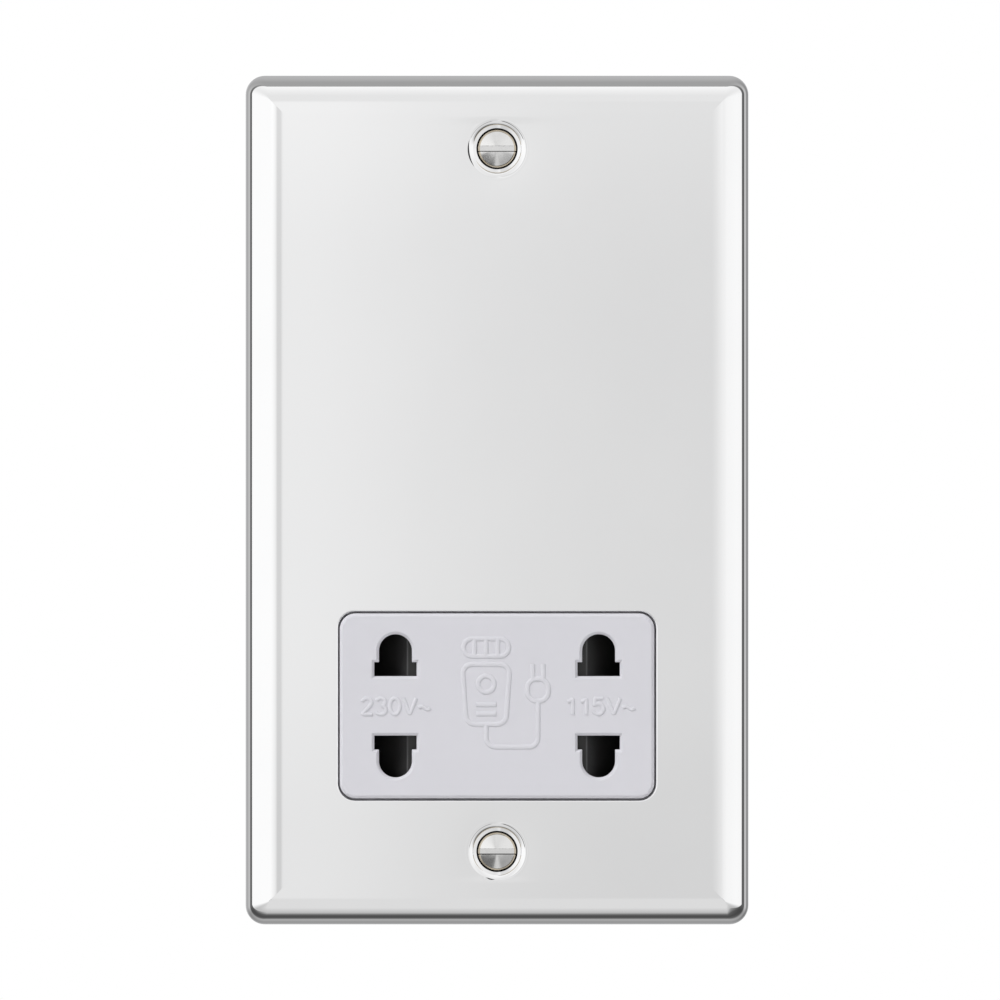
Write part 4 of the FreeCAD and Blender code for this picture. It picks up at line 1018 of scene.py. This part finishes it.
SHAVER_SIGN = [
    ([(-6.6, 4.9), (1.6, 4.9), (0.9, -5.4), (-5.9, -5.4)], True),
    ([(-6.4, 6.3), (1.4, 6.3), (1.4, 9.3), (-6.4, 9.3)], True),
    ([(-4.5, 6.3), (-4.5, 9.3)], False),
    ([(-2.5, 6.3), (-2.5, 9.3)], False),
    ([(-0.5, 6.3), (-0.5, 9.3)], False),
    ([(-3.9, 2.9), (-1.1, 2.9), (-1.1, 0.1), (-3.9, 0.1)], True),
    ([(-4.2, -2.0), (-0.8, -2.0)], False),
    ([(-4.2, -3.6), (-0.8, -3.6)], False),
    ([(-2.5, -5.4), (-2.5, -9.3), (6.4, -9.3), (6.4, -1.4)], False),
    ([(4.6, -1.4), (8.2, -1.4), (8.2, 2.4), (4.6, 2.4)], True),
    ([(5.5, 2.4), (5.5, 4.9)], False),
    ([(7.3, 2.4), (7.3, 4.9)], False),
]
EARTH_SIGN = [
    ([(0.0, 2.6), (0.0, 0.0)], False),
    ([(-2.2, 0.0), (2.2, 0.0)], False),
    ([(-1.4, -1.1), (1.4, -1.1)], False),
    ([(-0.6, -2.2), (0.6, -2.2)], False),
]


def raised_strokes(name, strokes, middle, ground, radius, fillet):
    """Rounded ridges along a drawing's lines, flattened to stand a little proud of a face."""
    top, facing, turn, finish, slot = ground
    seed, edges = [], []
    for points, closed in strokes:
        first, count = len(seed), len(points)
        seed.extend((x, z, 0.0) for x, z in points)
        edges.extend((first + i, first + (i + 1) % count) for i in range(count if closed else count - 1))
    flat = Vector((1.0, 1.0, RIDGE_HEIGHT / radius))
    place = Vector((middle[0], -(top - facing * RIDGE_HEIGHT), middle[1])) * MM
    growth = Growth(name, seed, edges, radius=radius * MM, fillet=fillet * MM, flat=flat, place=place,
                    turn=turn, finish=finish)
    path = growth.node("GeometryNodeMeshToCurve", None, {"Mesh": growth.given("Geometry")})
    path = growth.rounded_path(path, growth.given("fillet"), 8)
    ridge = growth.tube(path, growth.given("radius"), 16)
    low = growth.node("GeometryNodeTransform", None, {"Geometry": ridge, "Scale": growth.given("flat")})
    sockets = {"Geometry": low, "Translation": growth.given("place"), "Rotation": growth.given("turn")}
    keep(growth.grown(growth.node("GeometryNodeTransform", None, sockets), 50), "socket", slot)


def bow(x, z, across, along, first, last, count=14):
    """Part of an oval, from one angle to another."""
    turns = [math.radians(first + (last - first) * i / count) for i in range(count + 1)]
    return [(x + across * math.cos(t), z + along * math.sin(t)) for t in turns]


def wave(width, level, height, count=16):
    """One period of a sine."""
    turns = [math.tau * i / count for i in range(count + 1)]
    return [(width * t / math.tau, level + height * math.sin(t)) for t in turns]


# Plain characters as strokes in a cell one unit high: its width, then each stroke and whether it closes
CHARACTERS = {
    "0": (0.70, [(bow(0.29, 0.5, 0.25, 0.5, 0, 345, 23), True)]),
    "1": (0.66, [([(0.10, 0.78), (0.26, 0.86), (0.36, 1.0), (0.36, 0.0)], False)]),
    "2": (0.70, [(bow(0.29, 0.73, 0.24, 0.27, 165, -35) + [(0.04, 0.0), (0.56, 0.0)], False)]),
    "3": (0.70, [(bow(0.28, 0.76, 0.22, 0.24, 160, -80), False),
                 (bow(0.28, 0.27, 0.26, 0.27, 78, -160), False)]),
    "5": (0.70, [([(0.51, 1.0), (0.14, 1.0), (0.07, 0.50)] + bow(0.28, 0.33, 0.26, 0.33, 130, -155),
                  False)]),
    "V": (0.78, [([(0.02, 1.0), (0.34, 0.0), (0.66, 1.0)], False)]),
    "~": (0.62, [(wave(0.6, 0.4, 0.09), False)]),
    "L": (0.60, [([(0.05, 1.0), (0.05, 0.0), (0.52, 0.0)], False)]),
    "N": (0.70, [([(0.05, 0.0), (0.05, 1.0), (0.60, 0.0), (0.60, 1.0)], False)]),
}


def written(characters, width, height):
    """The strokes of a row of characters, centred, drawn to a width and a height."""
    cells = [CHARACTERS[c] for c in characters]
    total = sum(cell[0] for cell in cells)
    strokes, start = [], 0.0
    for advance, lines in cells:
        for points, closed in lines:
            spots = [(((start + x) / total - 0.5) * width, (z - 0.5) * height) for x, z in points]
            strokes.append((spots, closed))
        start += advance
    return strokes


def insert_marks():
    """A shaver with its lead and plug between the outlets, and each outlet's voltage."""
    raised_strokes("shaver_sign", SHAVER_SIGN, SIGN_MIDDLE, INSERT_GROUND, SIGN_STROKE, SIGN_FILLET)
    for characters, across in VOLTAGES:
        strokes = written(characters, VOLTAGE_WIDTH, VOLTAGE_HEIGHT)
        raised_strokes("marking_" + characters[:3], strokes, (across, VOLTAGE_UP), INSERT_GROUND,
                       VOLTAGE_STROKE, VOLTAGE_FILLET)


def housing_marks():
    """The letters of the mains terminals and the earth sign, on the back of the housing."""
    for letter, across in TERMINAL_MARKS:
        strokes = written(letter, TERMINAL_MARK_WIDTH, TERMINAL_MARK_HEIGHT)
        raised_strokes("terminal_mark_" + letter, strokes, (across, TERMINAL_MARK_UP), HOUSING_GROUND,
                       HOUSING_STROKE, HOUSING_FILLET)
    raised_strokes("earth_mark", EARTH_SIGN, (EARTH_STUD[0], EARTH_MARK_UP), HOUSING_GROUND,
                   HOUSING_STROKE, HOUSING_FILLET)


# Transformer. The core's outline is drawn in units of its limb
WIRE = 0.46
COIL_CORNER = 3.3
SHEET_STEP = 0.5
SHEET_GAP = 0.05
LIMB = 9.0
E_OUTLINE = [(-3, 4), (3, 4), (3, 0), (2, 0), (2, 3), (1, 3),
             (1, 0), (-1, 0), (-1, 3), (-2, 3), (-2, 0), (-3, 0)]
I_OUTLINE = [(-3, 0), (-3, 1), (3, 1), (3, 0)]


def winding(name, node):
    """One chamber of enamelled wire, turn upon turn round the bobbin."""
    low, high = box_mm(node)
    turns = int((high.z - low.z) / WIRE)
    side = high.x - low.x - WIRE
    first_up = low.z + (high.z - low.z - (turns - 1) * WIRE) / 2
    growth = Growth(name, wire=WIRE / 2 * MM, side=side * MM, corner=COIL_CORNER * MM, count=turns,
                    start=Vector((0.0, -(low.y + high.y) / 2, first_up)) * MM,
                    step=Vector((0.0, 0.0, WIRE)) * MM, finish=COPPER)
    square = growth.node("GeometryNodeCurvePrimitiveQuadrilateral", None,
                         {"Width": growth.given("side"), "Height": growth.given("side")})
    turn = growth.tube(growth.rounded_path(square, growth.given("corner"), 7), growth.given("wire"), 8)
    sockets = {"Points": growth.line(), "Instance": turn}
    coil = growth.node("GeometryNodeInstanceOnPoints", None, sockets)
    keep(growth.grown(coil, 60), "socket", "winding", node)


def lamination(name, outline, thickness):
    """One punched sheet, drawn as (x, z) corners."""
    skin = Skin()
    count = len(outline)
    front = [(x, thickness, z) for x, z in outline]
    back = [(x, 0.0, z) for x, z in outline]
    skin.face(front, [(0.0, 1.0, 0.0)] * count)
    skin.face(back, [(0.0, -1.0, 0.0)] * count)
    for i, (x, z) in enumerate(outline):
        j = (i + 1) % count
        way = (outline[j][1] - z, 0.0, x - outline[j][0])
        skin.face([front[i], front[j], back[j], back[i]], [way] * 4)
    piece = skin.piece(name)
    own_shading(piece.data)
    return piece


def core_stack(name, node, outline):
    """Punched sheets laid face to face."""
    low, high = box_mm(node)
    count = round((high.y - low.y) / SHEET_STEP)
    corners = [(x * LIMB, low.z + z * LIMB) for x, z in outline]
    model = lamination(name + "_sheet", corners, SHEET_STEP - SHEET_GAP)
    growth = Growth(name, model=model, count=count, start=Vector((0.0, -low.y - SHEET_GAP / 2, 0.0)) * MM,
                    step=Vector((0.0, -SHEET_STEP, 0.0)) * MM, finish=LAMINATIONS)
    piece = growth.grown(growth.copies(growth.line()), 30)
    bpy.data.objects.remove(model)
    keep(piece, "socket", "core", node)


def dressed(node, finish, edge, segments=2):
    finished(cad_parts[node], finish, edge, segments)


def finished(piece, finish, edge, segments=2):
    """Gives a solid its finish, joins its loose faces and breaks its edges."""
    piece.data.materials.clear()
    piece.data.materials.append(finish)
    weld = piece.modifiers.new("weld", "WELD")
    weld.merge_threshold = WELD * MM
    flat = piece.modifiers.new("flat", "DECIMATE")
    flat.decimate_type, flat.angle_limit = "DISSOLVE", math.radians(1.0)
    rounded(piece, edge, segments)


def centring_spring():
    """The folded strip that centres the shutter, finished and given a mesh of its own."""
    piece = put_in_scene("folded_spring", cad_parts["centring_spring"].data.copy())
    finished(piece, SPRING_STEEL, 0.04)
    piece = keep(harvest(piece, "folded_spring"), "socket", "spring", "centring_spring")
    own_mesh(piece)


# Camera
PHOTO_SCALE = 5.812
PHOTO_MIDDLE = (497.05, 500.05)
IMAGE = 1000.0
CAMERA_AWAY = 2.5
SENSOR = 36.0


def camera():
    lens = bpy.data.cameras.new("camera")
    lens.sensor_width = SENSOR
    lens.lens = SENSOR * CAMERA_AWAY / MM / (IMAGE / PHOTO_SCALE)
    lens.clip_start, lens.clip_end = 0.01, 50.0
    view = put_in_scene("camera", lens)
    across = (IMAGE / 2 - PHOTO_MIDDLE[0]) / PHOTO_SCALE * MM
    up = (PHOTO_MIDDLE[1] - IMAGE / 2) / PHOTO_SCALE * MM
    view.location = (across, -CAMERA_AWAY, up)
    view.rotation_euler = (math.radians(90.0), 0.0, 0.0)
    bpy.context.scene.camera = view


# Studio. What the plating mirrors each way is a row of (place, tone) stops
LEFT = [(0, 0.9), (0.1, 0.97), (0.15, 1.0), (1.0, 1.0), (1.03, 0.12), (1.9, 0.14), (2.05, 0.58), (2.4, 0.45),
        (2.7, 0.8), (3, 0.8)]
RIGHT = [(0, 0.82), (0.15, 0.875), (0.29, 0.94), (0.71, 0.97), (0.97, 0.95), (1.03, 0.1), (1.8, 0.12),
         (2.0, 0.6), (2.15, 0.6), (2.3, 0.3), (2.5, 0.3), (2.75, 0.8), (3, 0.8)]
UP = [(0, 0.8), (0.46, 0.8), (0.8, 0.905), (0.97, 0.98), (1.03, 0.35), (2.2, 0.36), (2.6, 0.55), (3, 0.8)]
DOWN = [(0, 0.73), (0.69, 0.73), (0.97, 0.53), (1.3, 0.12), (1.6, 0.067), (1.85, 0.12), (2.05, 0.43),
        (2.35, 0.33), (2.7, 0.6), (3, 0.8)]
AHEAD = [(-18, 1.0), (-12, 0.985), (-8, 0.93), (-5.4, 0.85), (-3.6, 0.67), (-1.45, 0.67), (-0.9, 0.875),
         (-0.2, 0.77), (0.4, 0.72), (0.9, 0.71), (2, 0.745), (6, 0.81), (14, 0.875), (21, 0.91)]
AHEAD_SPAN = 30.0
SIDE_WALL, UPPER_WALL, LOWER_WALL = 101.0, 76.0, 72.0
LEFT_REAR, RIGHT_REAR, UPPER_REAR, LOWER_REAR = 114.5, 118.0, 80.0, 108.0
LEFT_SLANT, RIGHT_SLANT = 12.0, 30.0
LEFT_CARD, RIGHT_CARD = 0.85, 0.5
ROOM_LIGHT = 0.315
LAMPS = (("key", (-1.0, -0.8, 1.3), 0.5, 26.5), ("fill", (1.1, -1.0, 0.3), 0.9, 5.0),
         ("back", (0.3, 1.5, 1.0), 1.0, 14.0))


class Room:
    """The studio round the object, by the way that a mirrored ray leaves it.

    To the left, right, up and down, place 0 is straight ahead, 1 the end of the front wall, 2 where
    the rear starts and 3 straight behind. In the stops for the way ahead it is in degrees across.
    """

    def __init__(self, graph):
        self.graph = graph
        self.x, y, self.z = graph.axes(graph.node("ShaderNodeTexCoord").of("Generated"))
        self.away = (-y).math("ARCCOSINE") * (180.0 / math.pi)
        spread = (self.x ** 2.0 + self.z ** 2.0).math("MAXIMUM", 1e-9)
        self.across, self.along = self.x ** 2.0 / spread, self.z ** 2.0 / spread
        self.slant = abs(self.x * self.z) * 2.0 / spread
        self.right, self.up = self.x.math("GREATER_THAN", 0.0), self.z.math("GREATER_THAN", 0.0)
        self.left, self.down = 1.0 - self.right, 1.0 - self.up

    def tones(self, stops, place):
        return self.graph.node("ShaderNodeValToRGB", {"stops": stops}, {"Fac": place}).of("Color")

    def walls(self):
        """The walls to the sides, above, below and behind."""
        ends = self.up * UPPER_WALL + self.down * LOWER_WALL
        slant = self.slant * self.down * (self.left * LEFT_SLANT + self.right * RIGHT_SLANT)
        wall = self.across * SIDE_WALL + self.along * ends - slant
        ends = self.up * UPPER_REAR + self.down * LOWER_REAR
        rear = self.across * (self.left * LEFT_REAR + self.right * RIGHT_REAR) + self.along * ends
        bounds = (0.0, wall, rear, 180.0)
        shares = [self.away.ramp_between(*span, kind="LINEAR") for span in zip(bounds, bounds[1:])]
        place = sum(shares) / 3.0

        def tones(stops):
            return self.tones([(at / 3.0, value) for at, value in stops], place)

        floor_line = self.z.ramp_between(-0.5, -0.08, 0.5, 1.0) * self.z.ramp_between(0.15, 0.7, 1.0, 0.82)
        sides = (self.left * tones(LEFT) + self.right * tones(RIGHT)) * floor_line
        return self.across * sides + self.along * (self.up * tones(UP) + self.down * tones(DOWN))

    def ahead(self):
        """The wall that the flat face looks at, lighter above and darker below."""
        turn = self.x.math("ARCSINE") * (180.0 / math.pi)
        stops = [(0.5 + place / (2 * AHEAD_SPAN), value) for place, value in AHEAD]
        tones = self.tones(stops, turn / (2 * AHEAD_SPAN) + 0.5)
        lighter = self.z.ramp_between(0.016, 0.028, 0.0, 0.055)
        darker = self.z.ramp_between(-0.024, -0.010, 0.045, 0.0)
        return tones + lighter - darker

    def cards(self):
        """Dark cards low on either side of the way ahead."""
        band = self.away.ramp_between(9.5, 12.0) * self.away.ramp_between(16.5, 20.0, 1.0, 0.0)
        clear = self.across.ramp_between(0.012, 0.06) * self.across.ramp_between(0.91, 0.97, 1.0, 0.0)
        return band * clear * self.down * (self.left * LEFT_CARD + self.right * RIGHT_CARD)

    def mirrored(self):
        far = self.away.ramp_between(10.0, 18.0)
        return (self.walls() * far + self.ahead() * (1.0 - far)) * (1.0 - self.cards())


def studio():
    """White to the camera, an even room for matt surfaces, and lit walls and cards for the plating."""
    world = bpy.data.worlds.new("studio")
    bpy.context.scene.world = world
    world.use_nodes = True
    world.node_tree.nodes.clear()
    graph = Graph(world.node_tree)
    path = graph.node("ShaderNodeLightPath")
    plain = path.of("Is Camera Ray").math("MAXIMUM", path.of("Is Transmission Ray"))
    glossy = path.of("Is Glossy Ray")
    level = (1.0 - plain) * (glossy * Room(graph).mirrored() + (1.0 - glossy) * ROOM_LIGHT) + plain
    light = graph.node("ShaderNodeBackground", None, {"Color": level, "Strength": 1.0})
    end = world.node_tree.nodes.new("ShaderNodeOutputWorld")
    world.node_tree.links.new(light.socket, end.inputs["Surface"])


def lamp(name, place, size, power):
    """A soft box that lights matt surfaces and doesn't show in the plating."""
    light = bpy.data.lights.new(name, "AREA")
    light.shape, light.size, light.energy = "SQUARE", size, power
    box = put_in_scene(name, light)
    box.location = place
    box.rotation_euler = (-Vector(place)).to_track_quat("-Z", "Y").to_euler()
    box.visible_glossy = False


def floor(reach=900.0, level=-200.0, segments=48, bands=12):
    """A pale sheet under the object that fades out round its rim."""
    skin = Skin()
    up = (0.0, 0.0, 1.0)
    radii = [reach * (i + 1) / bands for i in range(bands)]
    rows = [[(x, -y, level) for x, y in circle(0.0, 0.0, radius, segments)] for radius in radii]
    skin.sheet(rows, [[up] * segments] * bands)
    for i in range(segments):
        skin.face([(0.0, 0.0, level), rows[0][i], rows[0][(i + 1) % segments]], [up] * 3)
    made = Finish("pale_floor", Roughness=0.9)
    graph = made.graph
    x, y, _ = graph.axes(graph.place())
    made.feed("Alpha", ((x ** 2.0 + y ** 2.0) ** 0.5).ramp_mm(reach * 0.45, reach * 0.98, 1.0, 0.0))
    mottle = graph.noise(6.0, 3.0)
    made.feed("Base Color", graph.blend(mottle, tone(0.90, 0.90, 0.90), tone(0.93, 0.93, 0.93)))
    sheet = skin.piece("floor", made.material)
    sheet.visible_glossy = False


# Assembly
front_plate()
fixing_screws()
terminal_screws()
clamp_nuts()
front_moulding()
insert_marks()
core_stack("core_e_sheets", "core_e_stack", E_OUTLINE)
core_stack("core_i_sheets", "core_i_stack", I_OUTLINE)
winding("primary_turns", "primary_winding")
winding("secondary_turns", "secondary_winding")
centring_spring()
dressed("interlock_shutter", SHUTTER_PLASTIC, 0.15)
dressed("contact_block", BLOCK_PLASTIC, 0.2)
dressed("rear_housing", HOUSING_PLASTIC, 0.3, 3)
dressed("bobbin", BOBBIN_PLASTIC, 0.15)
dressed("thermal_cutout", CUTOUT_PLASTIC, 0.3, 3)
dressed("primary_leads", PRIMARY_LEAD, 0.05)
dressed("secondary_leads", SECONDARY_LEAD, 0.05)
for terminal in ("live_terminal", "neutral_terminal", "earth_terminal"):
    dressed(terminal, BRASS, 0.18)
for strip in ("bridge_contact", "contact_230", "contact_115", "common_contact", "live_in_strip",
              "live_out_strip"):
    dressed(strip, CONTACT_BRASS, 0.06)
housing_marks()

# The scene round the object
camera()
studio()
for name, place, size, power in LAMPS:
    lamp(name, place, size, power)
floor()
bpy.context.scene.view_settings.view_transform = "Standard"
